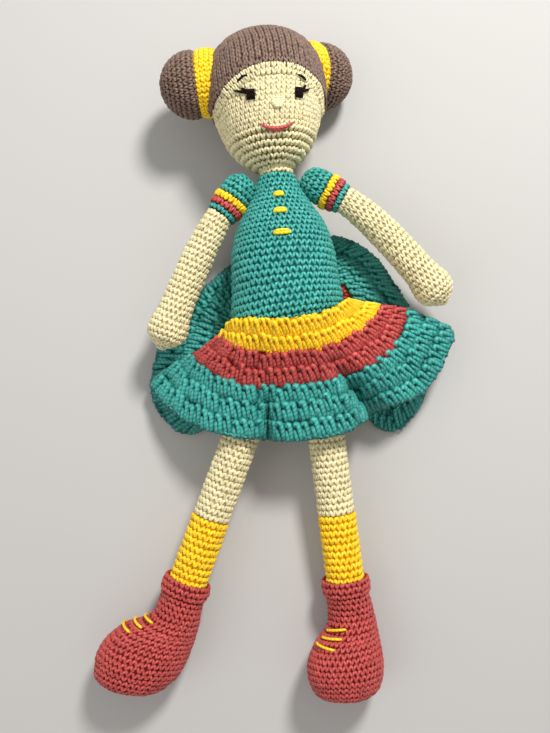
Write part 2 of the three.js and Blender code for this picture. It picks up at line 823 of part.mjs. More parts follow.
function ellipseRing(height, forward, halfLength, halfWidth) {
  return Array.from({ length: limbSides }, (_, i) => {
    const angle = (i / limbSides) * fullTurn;
    return new THREE.Vector3(
      halfWidth * Math.sin(angle),
      height,
      forward + halfLength * Math.cos(angle),
    );
  });
}

// The toe of a lifted foot tips up about the middle of the shaft, most at the sole.
function bootRing([heightShare, forwardShare, lengthShare, widthShare], inset, toeLift) {
  const ridge = heightShare === bootSectionShares[soleStation - 1][0] && inset === 0 ? soleRidge : 0;
  const height = Math.max(heightShare * bootHeight, inset);
  const ring = ellipseRing(
    -(bootTop + bootHeight) + height,
    forwardShare * footForward,
    lengthShare * footHalfLength + ridge - inset,
    widthShare * footHalfWidth + ridge - inset,
  );
  return ring.map((point) => liftToe(point, toeLift));
}

function liftToe(point, toeLift) {
  const sunk = (-bootTop - bootCuffWidth - point.y) / (bootHeight - bootCuffWidth);
  const share = THREE.MathUtils.clamp(sunk, 0, 1);
  point.y += point.z * Math.tan(toeLift) * share;
  return point;
}

// How far a foot turned about its leg reaches down below the leg's axis.
function footReach(turn) {
  const up = Math.cos(turn);
  const side = Math.sin(turn);
  const edge = Math.hypot(footHalfLength * up, footHalfWidth * side);
  return edge + soleRidge - footForward * up;
}

function buildLeg(i) {
  const name = sideNames[i];
  const sign = sideSigns[i];
  const place = hipPlaces[i];
  const footLevel = footReach(footTurns[i]) - floorCut;
  const drop = Math.asin((hipHeight - footLevel) / (bootTop + bootHeight - footHalfWidth));
  const group = groupAt(doll, place.x, place.y, place.z);
  group.rotation.order = 'ZXY';
  group.rotation.z = sign * legTurns[i];
  group.rotation.x = drop;
  group.rotation.y = footTurns[i];

  const dome = (radius) => domeShares.toReversed().map((share) => {
    const angle = share * quarterTurn;
    return [radius * Math.cos(angle), radius * Math.sin(angle)];
  });
  const inner = legRadius - legWall;
  const shell = [
    [0, legRadius],
    ...dome(legRadius),
    [legRadius, 0],
    [legRadius, -sockTop + gap],
    [inner, -sockTop + gap],
    [inner, 0],
    ...dome(inner).reverse(),
    [0, inner],
  ];
  part(`${name}_leg`, turned(shell, limbSides), creamYarn, group);

  const sock = [
    [sockRadius, -sockTop],
    [sockRadius, -bootTop - sockSeat],
    [inner, -bootTop - sockSeat],
    [inner, -sockTop],
  ];
  part(`${name}_sock`, turned(sock, limbSides), yellowYarn, group);

  const toeLift = toeLifts[i];
  const round = (height, radius) => ellipseRing(height, 0, radius, radius);
  const soleMiddle = (height) => [liftToe(new THREE.Vector3(0, height, footForward), toeLift)];
  const section = (share, inset) => bootRing(share, inset, toeLift);
  const pocket = sockRadius + gap;
  const wall = fabricThickness;
  const sole = -(bootTop + bootHeight);
  const shaftTop = -(bootTop + bootCuffWidth + gap);
  const bootOuter = [
    round(shaftTop, bootShaftRadius),
    ...bootSectionShares.map((share) => section(share, 0)),
    soleMiddle(sole),
  ];
  const bootInner = [
    round(shaftTop, pocket),
    round(-bootTop - sockSeat - gap, pocket),
    round(-bootTop - sockSeat - gap, inner),
    ...bootSectionShares.slice(1, soleStation).map((share) => section(share, wall)),
    soleMiddle(sole + wall),
  ];
  const boot = skinRings([...bootOuter.reverse(), ...bootInner]);
  const bootMesh = part(`${name}_boot`, boot, coralYarn, group);
  cutAtFloor(bootMesh);

  const cuff = hoop(pocket, bootCuffRadius, bootTop, bootTop + bootCuffWidth);
  part(`${name}_boot_cuff`, cuff, coralYarn, group);

  const fill = inner - gap;
  const stuffing = [
    [new THREE.Vector3(0, fill, 0)],
    ...dome(fill).map(([radius, height]) => round(height, radius)),
    round(0, fill),
    round(-bootTop - sockSeat - gap, fill),
    ...bootSectionShares.slice(1, soleStation - 1).map((share) => section(share, wall + gap)),
    soleMiddle(sole + wall + gap + gap),
  ];
  part(`${name}_leg_stuffing`, skinRings(stuffing), fibrefill, group);

  for (let k = 0; k < laceCount; k += 1) {
    buildLace(`${name}_lace_stitch_${k + 1}`, sole + laceHeight - k * laceSpacing, toeLift, group);
  }

  const towards = new THREE.Vector3(0, 1, 0);
  buildSeam(`${name}_hip_seam`, place, towards, legRadius, hipSeamRadius, creamYarn);
}

// A lace stitch bows across the instep, on the boot's outline at its height.
function buildLace(name, height, toeLift, group) {
  const sole = -(bootTop + bootHeight);
  const share = (height - sole) / bootHeight;
  const upper = bootSectionShares.findIndex((section) => section[0] <= share);
  const [h0, f0, l0, w0] = bootSectionShares[upper - 1];
  const [h1, f1, l1, w1] = bootSectionShares[upper];
  const mix = (share - h0) / (h1 - h0);
  const forward = THREE.MathUtils.lerp(f0, f1, mix) * footForward;
  const halfLength = THREE.MathUtils.lerp(l0, l1, mix) * footHalfLength;
  const halfWidth = THREE.MathUtils.lerp(w0, w1, mix) * footHalfWidth;
  const run = (l1 * footHalfLength + f1 * footForward) - (l0 * footHalfLength + f0 * footForward);
  const slope = Math.atan2(run, (h0 - h1) * bootHeight);
  const lift = 2 * gap + embroideryRadius;
  const points = [-1, -1 / 2, 0, 1 / 2, 1].map((across) => {
    const angle = (across * laceHalfWidth) / halfWidth;
    const z = forward + halfLength * Math.cos(angle) + lift * Math.cos(slope);
    const x = (halfWidth + lift) * Math.sin(angle);
    return liftToe(new THREE.Vector3(x, height + lift * Math.sin(slope), z), toeLift);
  });
  part(name, strand(points, embroideryRadius), laceYarn, group);
}

// Cuts a piece flat where it rests on the floor.
function cutAtFloor(mesh) {
  doll.updateMatrixWorld(true);
  const block = new THREE.BoxGeometry(floorReach, floorReach, floorReach);
  const middle = new THREE.Box3().setFromObject(mesh).getCenter(new THREE.Vector3());
  block.translate(middle.x, middle.y, -floorReach / 2);
  block.applyMatrix4(mesh.matrixWorld.clone().invert());
  mesh.geometry = cutAway(mesh.geometry, block);
}

// Skirt

function curveThrough(shares) {
  const points = shares.map(([x, y, z]) => new THREE.Vector3(x, y, z).multiplyScalar(skirtLength));
  return new THREE.CatmullRomCurve3(points, false, 'centripetal');
}

// A point of the cloth's middle at a column share and a row share.
function clothPoint(edges, column, row) {
  const rows = [waistShare, redShare, tealShare, hemShare];
  const points = edges.map((edge) => edge.getPoint(column));
  const down = new THREE.CatmullRomCurve3(points, false, 'centripetal');
  const upper = Math.min(2, Math.max(0, rows.findIndex((edge) => edge > row) - 1));
  const last = row >= hemShare ? 2 : upper;
  const within = (row - rows[last]) / (rows[last + 1] - rows[last]);
  return down.getPoint((last + within) / 3);
}

function clothNormal(edges, column, row) {
  const share = clothSampleShare;
  const left = clothPoint(edges, Math.max(0, column - share), row);
  const right = clothPoint(edges, Math.min(1, column + share), row);
  const above = clothPoint(edges, column, Math.max(0, row - share));
  const below = clothPoint(edges, column, Math.min(1, row + share));
  return right.sub(left).cross(above.sub(below)).normalize();
}

// One colour of the skirt as a closed sheet, flat where it would reach below the floor.
function clothBand(edges, rowStart, rowEnd, columns, steps, lift) {
  const half = skirtThickness / 2;
  const rings = [];
  for (let c = 0; c <= columns; c += 1) {
    const top = [];
    const bottom = [];
    for (let r = 0; r <= steps; r += 1) {
      const row = rowStart + ((rowEnd - rowStart) * r) / steps;
      const middle = clothPoint(edges, c / columns, row);
      const normal = clothNormal(edges, c / columns, row);
      middle.z += lift;
      const above = middle.clone().addScaledVector(normal, half);
      const below = middle.clone().addScaledVector(normal, -half);
      top.push(above);
      bottom.unshift(below);
    }
    rings.push([...top, ...bottom]);
  }
  const count = rings[0].length;
  const positions = rings.flat().flatMap((p) => [p.x, p.y, p.z]);
  const faces = [];
  for (let c = 0; c < columns; c += 1) {
    for (let k = 0; k < count; k += 1) {
      const next = (k + 1) % count;
      const a = c * count + k;
      const b = c * count + next;
      faces.push(a, b, b + count, a, b + count, a + count);
    }
  }
  for (const first of [0, columns * count]) {
    for (let r = 0; r < steps; r += 1) {
      const a = first + r;
      const b = first + r + 1;
      const c = first + count - 2 - r;
      const d = first + count - 1 - r;
      if (first === 0) faces.push(a, c, b, a, d, c);
      else faces.push(a, b, c, a, c, d);
    }
  }
  const geometry = new THREE.BufferGeometry();
  geometry.setAttribute('position', new THREE.Float32BufferAttribute(positions, 3));
  geometry.setIndex(faces);
  return facingOut(geometry);
}

function buildSkirt(label, shares, columns, lift) {
  const edges = shares.map(curveThrough);
  const trim = colourGap / 2 / skirtLength;
  const bands = [
    ['yellow', waistShare, redShare - trim, yellowYarn],
    ['red', redShare + trim, tealShare - trim, coralYarn],
    ['teal', tealShare + trim, hemShare, tealYarn],
  ];
  bands.forEach(([name, rowStart, rowEnd, color], i) => {
    const band = clothBand(edges, rowStart, rowEnd, columns, rowSteps[i], lift);
    const mesh = part(`skirt_${label}_${name}`, band, color, doll);
    if (lift > 0) cutAtFloor(mesh);
  });
}

buildTorso();
buildNeck();
buildHead();
sideNames.forEach((_, i) => buildArm(i));
sideNames.forEach((_, i) => buildLeg(i));
buildSkirt('front', frontSkirtShares, frontColumns, 0);
buildSkirt('back', backSkirtShares, backColumns, skirtThickness / 2 - gap);

// The origin is the middle of the footprint, on the floor.
doll.updateMatrixWorld(true);
const footprint = new THREE.Box3().setFromObject(doll, true);
const centre = footprint.getCenter(new THREE.Vector3());
doll.position.set(-centre.x, -centre.y, -footprint.min.z);

export default doll;
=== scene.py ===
"""The looks of the crocheted doll: every surface is worked in strands of yarn over a soft form.

Lengths are in millimetres from the waist seam's centre on the floor, as in the part's source, and
become metres in the part's frame when a mesh is made. +X is the doll's left, +Y its head, +Z up.
"""

import json
import math

import bpy
import numpy as np
from mathutils import Matrix, Vector


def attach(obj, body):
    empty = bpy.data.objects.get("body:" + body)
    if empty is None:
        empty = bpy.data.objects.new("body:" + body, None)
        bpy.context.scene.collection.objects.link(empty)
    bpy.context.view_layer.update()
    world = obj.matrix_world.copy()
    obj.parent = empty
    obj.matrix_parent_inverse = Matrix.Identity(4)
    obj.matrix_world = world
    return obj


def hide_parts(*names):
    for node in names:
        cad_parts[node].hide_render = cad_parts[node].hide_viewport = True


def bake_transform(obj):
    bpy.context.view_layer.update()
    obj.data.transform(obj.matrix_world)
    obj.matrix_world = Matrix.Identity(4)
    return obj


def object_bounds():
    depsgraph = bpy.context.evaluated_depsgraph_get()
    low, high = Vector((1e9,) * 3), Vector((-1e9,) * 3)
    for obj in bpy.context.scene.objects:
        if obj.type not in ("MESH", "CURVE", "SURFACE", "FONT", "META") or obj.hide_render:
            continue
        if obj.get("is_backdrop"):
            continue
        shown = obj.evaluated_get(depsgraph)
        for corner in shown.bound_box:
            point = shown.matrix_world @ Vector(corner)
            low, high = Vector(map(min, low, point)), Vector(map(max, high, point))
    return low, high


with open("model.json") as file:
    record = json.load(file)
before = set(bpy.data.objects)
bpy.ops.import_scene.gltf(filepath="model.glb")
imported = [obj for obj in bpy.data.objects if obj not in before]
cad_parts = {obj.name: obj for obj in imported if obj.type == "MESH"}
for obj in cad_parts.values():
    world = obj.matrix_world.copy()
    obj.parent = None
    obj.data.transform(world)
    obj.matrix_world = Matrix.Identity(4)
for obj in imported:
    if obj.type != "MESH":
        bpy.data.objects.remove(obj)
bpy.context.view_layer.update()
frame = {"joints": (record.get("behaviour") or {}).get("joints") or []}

# The neck's joint is here in this script's own lengths, which places them in the frame.
NECK_PIVOT = np.array([0, 82.0, 32])
pivots = {joint["name"]: joint["pos_m"] for joint in frame["joints"]}
WAIST = np.array(pivots["neck_turn"]) - NECK_PIVOT / 1000
QUARTER = math.pi / 2
SIDES = ("right", "left")
SIGNS = (-1, 1)
rng = np.random.default_rng(7)


# Small geometry


def unit(v):
    return v / np.maximum(np.linalg.norm(v, axis=-1, keepdims=True), 1e-9)


def turn(axis, angle):
    return np.array(Matrix.Rotation(angle, 3, axis))


def moved(points, rotation=np.eye(3), origin=(0, 0, 0)):
    return points @ rotation.T + np.array(origin)


def catmull_rom(points, t):
    """Points of a centripetal Catmull-Rom curve, at shares t of its run from first to last point."""
    points = np.asarray(points, float)
    padded = np.vstack([2 * points[0] - points[1], points, 2 * points[-1] - points[-2]])
    place = np.clip(np.asarray(t, float), 0, 1) * (len(points) - 1)
    first = np.minimum(place.astype(int), len(points) - 2)
    w = (place - first)[:, None]
    p0, p1, p2, p3 = (padded[first + k] for k in range(4))
    d0, d1, d2 = (
        np.maximum(np.linalg.norm(b - a, axis=1) ** 0.5, 1e-4)[:, None]
        for a, b in ((p0, p1), (p1, p2), (p2, p3))
    )
    t1 = ((p1 - p0) / d0 - (p2 - p0) / (d0 + d1) + (p2 - p1) / d1) * d1
    t2 = ((p2 - p1) / d1 - (p3 - p1) / (d1 + d2) + (p3 - p2) / d2) * d1
    c2 = -3 * p1 + 3 * p2 - 2 * t1 - t2
    c3 = 2 * p1 - 2 * p2 + t1 + t2
    return p1 + t1 * w + c2 * w**2 + c3 * w**3


def sums(steps):
    """The running sums of steps, from nought."""
    return np.concatenate([[0], np.cumsum(steps)])


def run_along(points):
    """How far along a run of points each of them is."""
    return sums(np.linalg.norm(np.diff(points, axis=0), axis=1))


def circle(count):
    """The cosines and sines of a whole turn in equal steps."""
    angle = 2 * math.pi * np.arange(count) / count
    return np.cos(angle), np.sin(angle)


def even_curve(points, count):
    """A smooth run through the points, as count points at equal distances."""
    dense = catmull_rom(points, np.linspace(0, 1, 40 * len(points)))
    run = run_along(dense)
    at = np.linspace(0, run[-1], count)
    return np.stack([np.interp(at, run, dense[:, k]) for k in range(dense.shape[1])], 1)


class Patch:
    """A surface as a grid of points: rows along it in v (mm), columns across it in u (0 to 1).

    Its columns go round, unless the way that it faces is given, which makes it open at its sides.
    """

    def __init__(self, points, facing=None):
        self.points, self.closed = points, facing is None
        self.v = sums(np.linalg.norm(np.diff(points, axis=0), axis=2).mean(1))
        self.length = float(self.v[-1])
        after, before = np.roll(points, -1, 1), np.roll(points, 1, 1)
        ring = after - points if self.closed else np.diff(points, axis=1)
        self.girths = np.linalg.norm(ring, axis=2).sum(1)
        across = after - before if self.closed else np.gradient(points, axis=1)
        normals = unit(np.cross(across, np.gradient(points, axis=0)))
        if self.closed:
            facing = points - points.mean(1, keepdims=True)
        # Rows that shrink to a point take the patch's own axis.
        thin = self.closed & (np.linalg.norm(across, axis=2).mean(1) < 0.02)
        if (normals * facing)[~thin].sum() < 0:
            normals = -normals
        axis = unit(points[0].mean(0) - points[-1].mean(0))
        for j in np.where(thin)[0]:
            normals[j] = axis if j < len(points) / 2 else -axis
        self.normals = normals

    def girth(self, v):
        return float(np.interp(v, self.v, self.girths))

    def sample(self, u, v, h=0):
        """Points at u and v, lifted h off the surface, and the surface's directions there."""
        columns = self.points.shape[1]
        row = np.interp(v, self.v, np.arange(len(self.v)))
        j0 = np.minimum(row.astype(int), len(self.v) - 2)
        fv = (row - j0)[..., None]
        column = (u % 1) * columns if self.closed else np.clip(u, 0, 1) * (columns - 1)
        i0 = np.minimum(column.astype(int), columns - (1 if self.closed else 2))
        i1 = (i0 + 1) % columns
        fu = (column - i0)[..., None]
        found = []
        for grid in (self.points, self.normals):
            low = grid[j0, i0] * (1 - fu) + grid[j0, i1] * fu
            high = grid[j0 + 1, i0] * (1 - fu) + grid[j0 + 1, i1] * fu
            found.append(low * (1 - fv) + high * fv)
        out = unit(found[1])
        return found[0] + out * np.asarray(h)[..., None], out


def turned(outline, columns=160, rows=120):
    """The grid of a surface turned about Y, from pairs of radius and height."""
    outline = even_curve(outline, rows)
    outline[:, 0] = np.maximum(outline[:, 0], 0.01)
    cosine, sine = circle(columns)
    radius, height = outline[:, 0, None], outline[:, 1, None]
    return np.stack([radius * sine, height + 0 * sine, radius * cosine], 2)


# Yarn: strands in a stitch's own cell. a is across the cell, b along it and h off the surface.


def strand(points, radius, steps):
    """One strand of a stitch: its run of (a, b, h), and its radius at each point, ends drawn in."""
    run = catmull_rom(points, np.linspace(0, 1, steps))
    share = np.ones(steps)
    share[0] = share[-1] = 0.62
    return run, share * radius


def two_legs(leg, radius, steps):
    """A stitch of two legs, the second the mirror image of the first."""
    other = [(1 - a, b, h) for a, b, h in leg]
    return [strand(leg, radius, steps), strand(other, radius, steps)]


SINGLE = two_legs([(0.5, 0.02, -0.55), (0.4, 0.3, 0.2), (0.22, 0.63, 0.42), (0.03, 0.95, -0.3)], 0.28, 6)
PLAIN = two_legs([(0.5, 0.0, -0.35), (0.4, 0.3, 0.15), (0.22, 0.64, 0.28), (0.03, 0.97, -0.22)], 0.285, 6)
RIDGE = two_legs([(0.5, -0.05, -1.3), (0.42, 0.35, 0.2), (0.26, 0.7, 0.95), (0.04, 1.0, -0.2)], 0.28, 7)
FLAT = two_legs([(0.5, -0.05, -0.2), (0.4, 0.3, 0.1), (0.22, 0.65, 0.14), (0.03, 1.03, -0.15)], 0.3, 6)
BAND = two_legs([(0.5, -0.04, 0.0), (0.38, 0.3, 0.26), (0.2, 0.7, 0.28), (0.04, 1.04, 0.02)], 0.29, 7)
FACE = two_legs([(0.5, -0.15, -0.15), (0.38, 0.25, 0.08), (0.26, 0.7, 0.1), (0.19, 1.12, -0.12)], 0.275, 6)
RIB = two_legs([(0.44, -0.2, -0.15), (0.34, 0.25, 0.1), (0.27, 0.7, 0.1), (0.23, 1.2, -0.15)], 0.255, 6)

# A tall stitch: a strand that arches over its top and slants down, and a shorter one below it.
POST_HOOK = [
    (-0.02, 0.26, 0.0), (0.1, 0.08, 0.65), (0.38, 0.06, 0.95),
    (0.62, 0.38, 0.75), (0.78, 0.72, 0.4), (0.9, 1.06, -0.35),
]
POST_LEG = [(0.02, 0.42, -0.1), (0.16, 0.58, 0.4), (0.34, 0.82, 0.35), (0.42, 1.08, -0.3)]
POST = [strand(POST_HOOK, 0.325, 11), strand(POST_LEG, 0.3, 8)]
# The hem's edging: two strands that cross.
EDGE_LOOP = [(-0.1, 0.35, 0.0), (0.3, 0.1, 0.35), (0.75, 0.45, 0.4), (1.1, 0.75, 0.0)]
EDGE = [strand(EDGE_LOOP, 0.2, 7), strand([(a, 1 - b, -h) for a, b, h in EDGE_LOOP], 0.2, 7)]
# The cell width that heights in a stitch are for, and how much wider than planned its strands may grow.
CELL_WIDTH, MOST_GROWN = 3.3, 1.15
# How much strands differ by chance in lift and in tone.
LIFT_SPREAD, TONE_SPREAD = 0.1, 0.18


# A piece's yarn is a list of groups of strands: centre lines, directions off the surface, radii,
# tones and rises. A rise is 1 at a strand's crest and less in the grooves; the colour is painted
# darker with it as shade in the grooves, and only the crests take the painted highlight.


def run_strand(points, out, radius, steps=None):
    """One strand along a run of points, thinner at its ends."""
    points = np.asarray(points, float)
    steps = steps or 4 * len(points)
    line = even_curve(points, steps)
    normals = unit(even_curve(out + points, steps) - line)
    share = np.ones(steps)
    share[0] = share[-1] = 0.45
    share[1] = share[-2] = 0.85
    given = np.linspace(0, 1, np.size(radius))
    radii = np.interp(np.linspace(0, 1, steps), given, np.atleast_1d(radius))
    return line[None], normals[None], (radii * share)[None], rng.random(1), np.ones((1, steps))


def work(
    yarn, patch, stitch, pitch, width, sink, start=0.0, end=None,
    multiple=1, drift=0.3, keep=None, most=None, relief=1.0,
):
    """Works rounds of a stitch up a patch, each cell about pitch tall and width across.

    The count in a round is a multiple of a number and has a most. Each round starts a drift later.
    """
    end = patch.length if end is None else end
    rounds = max(1, round((end - start) / pitch))
    tall = (end - start) / rounds
    for r in range(rounds):
        low = start + r * tall
        girth = patch.girth(low + tall / 2)
        count = max(5, multiple * round(girth / width / multiple))
        if most:
            count = min(count, most)
        first = (np.arange(count) + drift * r) / count
        cells = np.stack([first, np.full(count, 1 / count), np.full(count, low), np.full(count, tall)], 1)
        place_cells(yarn, patch, stitch, cells, girth / count, width, sink, relief, keep=keep)


def work_rows(yarn, patch, stitch, row_edges, width, sink, relief=1.0, jitter=0.05):
    """Works rows of a stitch across an open patch, evenly along each row."""
    for low, high in zip(row_edges[:-1], row_edges[1:]):
        samples = np.linspace(0, 1, 600)
        points, _ = patch.sample(samples, np.full(600, (low + high) / 2))
        run = run_along(points)
        count = round(run[-1] / width)
        edges = np.interp(np.linspace(0, run[-1], count + 1), run, samples)
        cells = np.stack([edges[:-1], np.diff(edges), np.full(count, low), np.full(count, high - low)], 1)
        place_cells(yarn, patch, stitch, cells, run[-1] / count, width, sink, relief, jitter=jitter)


def place_cells(yarn, patch, stitch, cells, wide, width, sink, relief, jitter=0.05, keep=None):
    """Puts one stitch's strands in each cell (u, its width, v, its height)."""
    if keep is not None:
        centres, _ = patch.sample(cells[:, 0] + cells[:, 1] / 2, cells[:, 2] + cells[:, 3] / 2)
        cells = cells[keep(centres)]
    if len(cells) == 0:
        return
    count = len(cells)
    shift = rng.normal(0, jitter, (2, count, 1))
    lift = rng.normal(0, LIFT_SPREAD, (count, 1))
    size = min(wide, MOST_GROWN * width)
    swell = 1 + rng.normal(0, jitter, (count, 1))
    tone = rng.random(count)
    heights = np.concatenate([run[:, 2] for run, _ in stitch])
    lowest, span = heights.min(), np.ptp(heights)
    for run, shares in stitch:
        a, b, h = run.T
        u = cells[:, :1] + (a + shift[0]) * cells[:, 1:2]
        v = np.clip(cells[:, 2:3] + (b + shift[1]) * cells[:, 3:4], 0, patch.length)
        points, out = patch.sample(u, v, (h + lift) * size / CELL_WIDTH - sink)
        radii = shares * size * swell
        # Painted shade: the lower a point lies in its stitch, the more its colour is darkened towards the
        # groove colour.
        rise = 1 - relief * (1 - (h - lowest) / span) ** 1.5 + 0 * u
        mixed = np.clip(tone + rng.normal(0, TONE_SPREAD, count), 0, 1)
        yarn.append((points, out, radii, mixed, rise))


# Meshes

# The fabric stays this far off the floor, so the strands show where a form is pressed flat.
FABRIC_LOWEST = 0.0006
# The free margin of each strand's cell in its bake map, and how far apart two strands' twists may start.
MARGIN, TWIST_SHIFT = 0.06, 7


def metres(points, lowest=0.0):
    """Points in the frame, in metres, pressed flat where they would go below the lowest height."""
    points = np.asarray(points, float) / 1000 + WAIST
    points[..., 2] = np.maximum(points[..., 2], lowest)
    return points


def add_object(name, data):
    thing = bpy.data.objects.new(name, data)
    bpy.context.scene.collection.objects.link(thing)
    return thing


def fill_mesh(name, vertices, corners, sizes, uvs, attributes=()):
    """A smooth mesh from arrays of vertices, the faces' corners and each face's number of them."""
    starts = sums(sizes)[:-1]
    mesh = bpy.data.meshes.new(name)
    mesh.vertices.add(len(vertices))
    mesh.vertices.foreach_set("co", vertices.astype(np.float32).ravel())
    mesh.loops.add(len(corners))
    mesh.loops.foreach_set("vertex_index", corners.astype(np.int32))
    mesh.polygons.add(len(starts))
    mesh.polygons.foreach_set("loop_start", starts.astype(np.int32))
    mesh.update(calc_edges=True)
    mesh.polygons.foreach_set("use_smooth", np.ones(len(starts), bool))
    for uv_name, values in uvs:
        layer = mesh.uv_layers.new(name=uv_name)
        layer.data.foreach_set("uv", values.astype(np.float32).ravel())
    for attribute_name, values in attributes:
        attribute = mesh.attributes.new(attribute_name, "FLOAT", "POINT")
        attribute.data.foreach_set("value", values.astype(np.float32).ravel())
    return add_object(name, mesh)


def yarn_mesh(name, yarn, sides=6):
    """All of a piece's strands as closed round tubes, with yarn and bake maps."""
    grid = math.ceil(math.sqrt(sum(len(lines) for lines, *_ in yarn)))
    vertices, tones, rises, faces = [], [], [], []
    base, first = 0, 0
    for lines, out, radii, tone, rise in yarn:
        count, steps, _ = lines.shape
        tangent = unit(np.gradient(lines, axis=1))
        side = unit(np.cross(tangent, out))
        up = np.cross(side, tangent)
        cosine, sine = circle(sides)
        wheel = cosine[:, None] * side[:, :, None] + sine[:, None] * up[:, :, None]
        ring = lines[:, :, None] + radii[:, :, None, None] * wheel
        vertices.append(ring.reshape(-1, 3))
        tones.append(np.repeat(tone, steps * sides))
        rises.append(np.repeat(rise.ravel(), sides))
        gaps = np.linalg.norm(np.diff(lines, axis=1), axis=2)
        run = np.concatenate([TWIST_SHIFT * tone[:, None], gaps], 1).cumsum(1)
        starts = (base + steps * sides * np.arange(count))[:, None]
        row, column = (part[:, None] for part in divmod(first + np.arange(count), grid))

        def add_faces(step, s, size):
            """Faces of a size on every strand, from each corner's step along it and side around it."""
            corners = starts + step * sides + s % sides
            along, around = run[:, step], np.broadcast_to(s / sides, corners.shape)
            u = (column + MARGIN + (1 - 2 * MARGIN) * around) / grid
            v = (row + MARGIN + (1 - 2 * MARGIN) * step / (steps - 1)) / grid
            maps = [np.stack(pair, -1).reshape(-1, 2) for pair in ((u, v), (along, around))]
            faces.append((corners.ravel(), np.full(corners.size // size, size), *maps))

        k, s = np.meshgrid(np.arange(steps - 1), np.arange(sides), indexing="ij")
        add_faces(np.stack([k, k, k + 1, k + 1], -1).ravel(), np.stack([s, s + 1, s + 1, s], -1).ravel(), 4)
        add_faces(np.full(sides, 0), np.arange(sides)[::-1], sides)
        add_faces(np.full(sides, steps - 1), np.arange(sides), sides)
        base += count * steps * sides
        first += count
    corners, sizes, bake_map, yarn_map = (np.concatenate(part) for part in zip(*faces))
    uvs = [("OFBake", bake_map), ("Yarn", yarn_map)]
    attributes = [("tone", np.concatenate(tones)), ("rise", np.concatenate(rises))]
    return fill_mesh(name, metres(np.concatenate(vertices)), corners, sizes, uvs, attributes)


def patch_mesh(name, patch, inset, start=0.0, end=None, columns=64, rows=48, keep=None):
    """A smooth form inset from a patch, closed at its ends where the patch goes round.

    The inset is a distance, or places along the patch and the distance at each.
    """
    end = patch.length if end is None else end
    around = np.arange(columns) / columns if patch.closed else np.linspace(0, 1, columns)
    v, u = np.meshgrid(np.linspace(start, end, rows), around, indexing="ij")
    depth = np.interp(v, *inset) if isinstance(inset, tuple) else inset + 0 * v
    vertices = patch.sample(u, v, -depth)[0].reshape(-1, 3)
    last = columns if patch.closed else columns - 1
    j, i = (part.ravel() for part in np.meshgrid(np.arange(rows - 1), np.arange(last), indexing="ij"))
    row, column = np.stack([j, j, j + 1, j + 1], 1), np.stack([i, i + 1, i + 1, i], 1)
    corners = row * columns + column % columns
    if keep is not None:
        chosen = keep(vertices)[corners].all(1)
        row, column, corners = row[chosen], column[chosen], corners[chosen]
    uv = np.stack([column, row], -1).reshape(-1, 2) / [columns, rows] * 0.9 + 0.02
    sizes, corners = np.full(len(corners), 4), corners.ravel()
    if patch.closed and keep is None:
        # Its two ends are small discs at the right of the bake map.
        for edge, order, high in ((0, np.arange(columns)[::-1], 0.1), (rows - 1, np.arange(columns), 0.3)):
            corners = np.concatenate([corners, edge * columns + order])
            sizes = np.append(sizes, columns)
            uv = np.vstack([uv, np.stack(circle(columns), 1)[order] * 0.03 + [0.96, high]])
    return fill_mesh(name, metres(vertices, FABRIC_LOWEST), corners, sizes, [("OFBake", uv)])


# Materials

# Places of noise per metre, for fine fibres and for blotches, and the run of yarn in one twist, in mm.
FIBRE_SCALE, BLOTCH_SCALE = 1500, 60
TWIST = 2.1
# How much the tone of whole strands differs.
STRAND_SPREAD = 0.2


def linear(colour):
    """A colour of 0 to 255 as Blender reckons with it."""
    return [((c / 255 + 0.055) / 1.055) ** 2.4 if c > 10 else c / 255 / 12.92 for c in colour]


def feed(tree, socket, value):
    """Gives a socket another socket's value, or a fixed one."""
    if isinstance(value, bpy.types.NodeSocket):
        tree.links.new(value, socket)
    else:
        socket.default_value = value


def maths(tree, operation, a, b=0.0, c=0.0):
    made = tree.nodes.new("ShaderNodeMath")
    made.operation = operation
    for socket, value in zip(made.inputs, (a, b, c)):
        feed(tree, socket, value)
    return made.outputs[0]


def noise(tree, place, scale, detail):
    made = tree.nodes.new("ShaderNodeTexNoise")
    made.inputs["Scale"].default_value = scale
    made.inputs["Detail"].default_value = detail
    tree.links.new(place.outputs["Object"], made.inputs["Vector"])
    return made.outputs["Fac"]


def between(tree, factor, low, high, clamped=True):
    """The colour that a factor picks between two."""
    made = tree.nodes.new("ShaderNodeMix")
    made.data_type = "RGBA"
    made.clamp_factor = clamped
    tree.links.new(factor, made.inputs["Factor"])
    feed(tree, made.inputs["A"], low)
    feed(tree, made.inputs["B"], high)
    return made.outputs["Result"]


def bumpy(tree, surface, height, strength, distance):
    """Raises a surface by a height, up to a distance in metres."""
    bump = tree.nodes.new("ShaderNodeBump")
    bump.inputs["Strength"].default_value = strength
    bump.inputs["Distance"].default_value = distance
    tree.links.new(height, bump.inputs["Height"])
    tree.links.new(bump.outputs[0], surface.inputs["Normal"])


def new_material(name, roughness, specular):
    material = bpy.data.materials.new(name)
    material.use_nodes = True
    tree = material.node_tree
    surface = tree.nodes["Principled BSDF"]
    surface.inputs["Roughness"].default_value = roughness
    surface.inputs["Specular IOR Level"].default_value = specular
    return material, tree, surface, tree.nodes.new("ShaderNodeTexCoord")


def strand_value(tree, name):
    """A number that each strand carries along."""
    made = tree.nodes.new("ShaderNodeAttribute")
    made.attribute_name = name
    return made.outputs["Fac"]


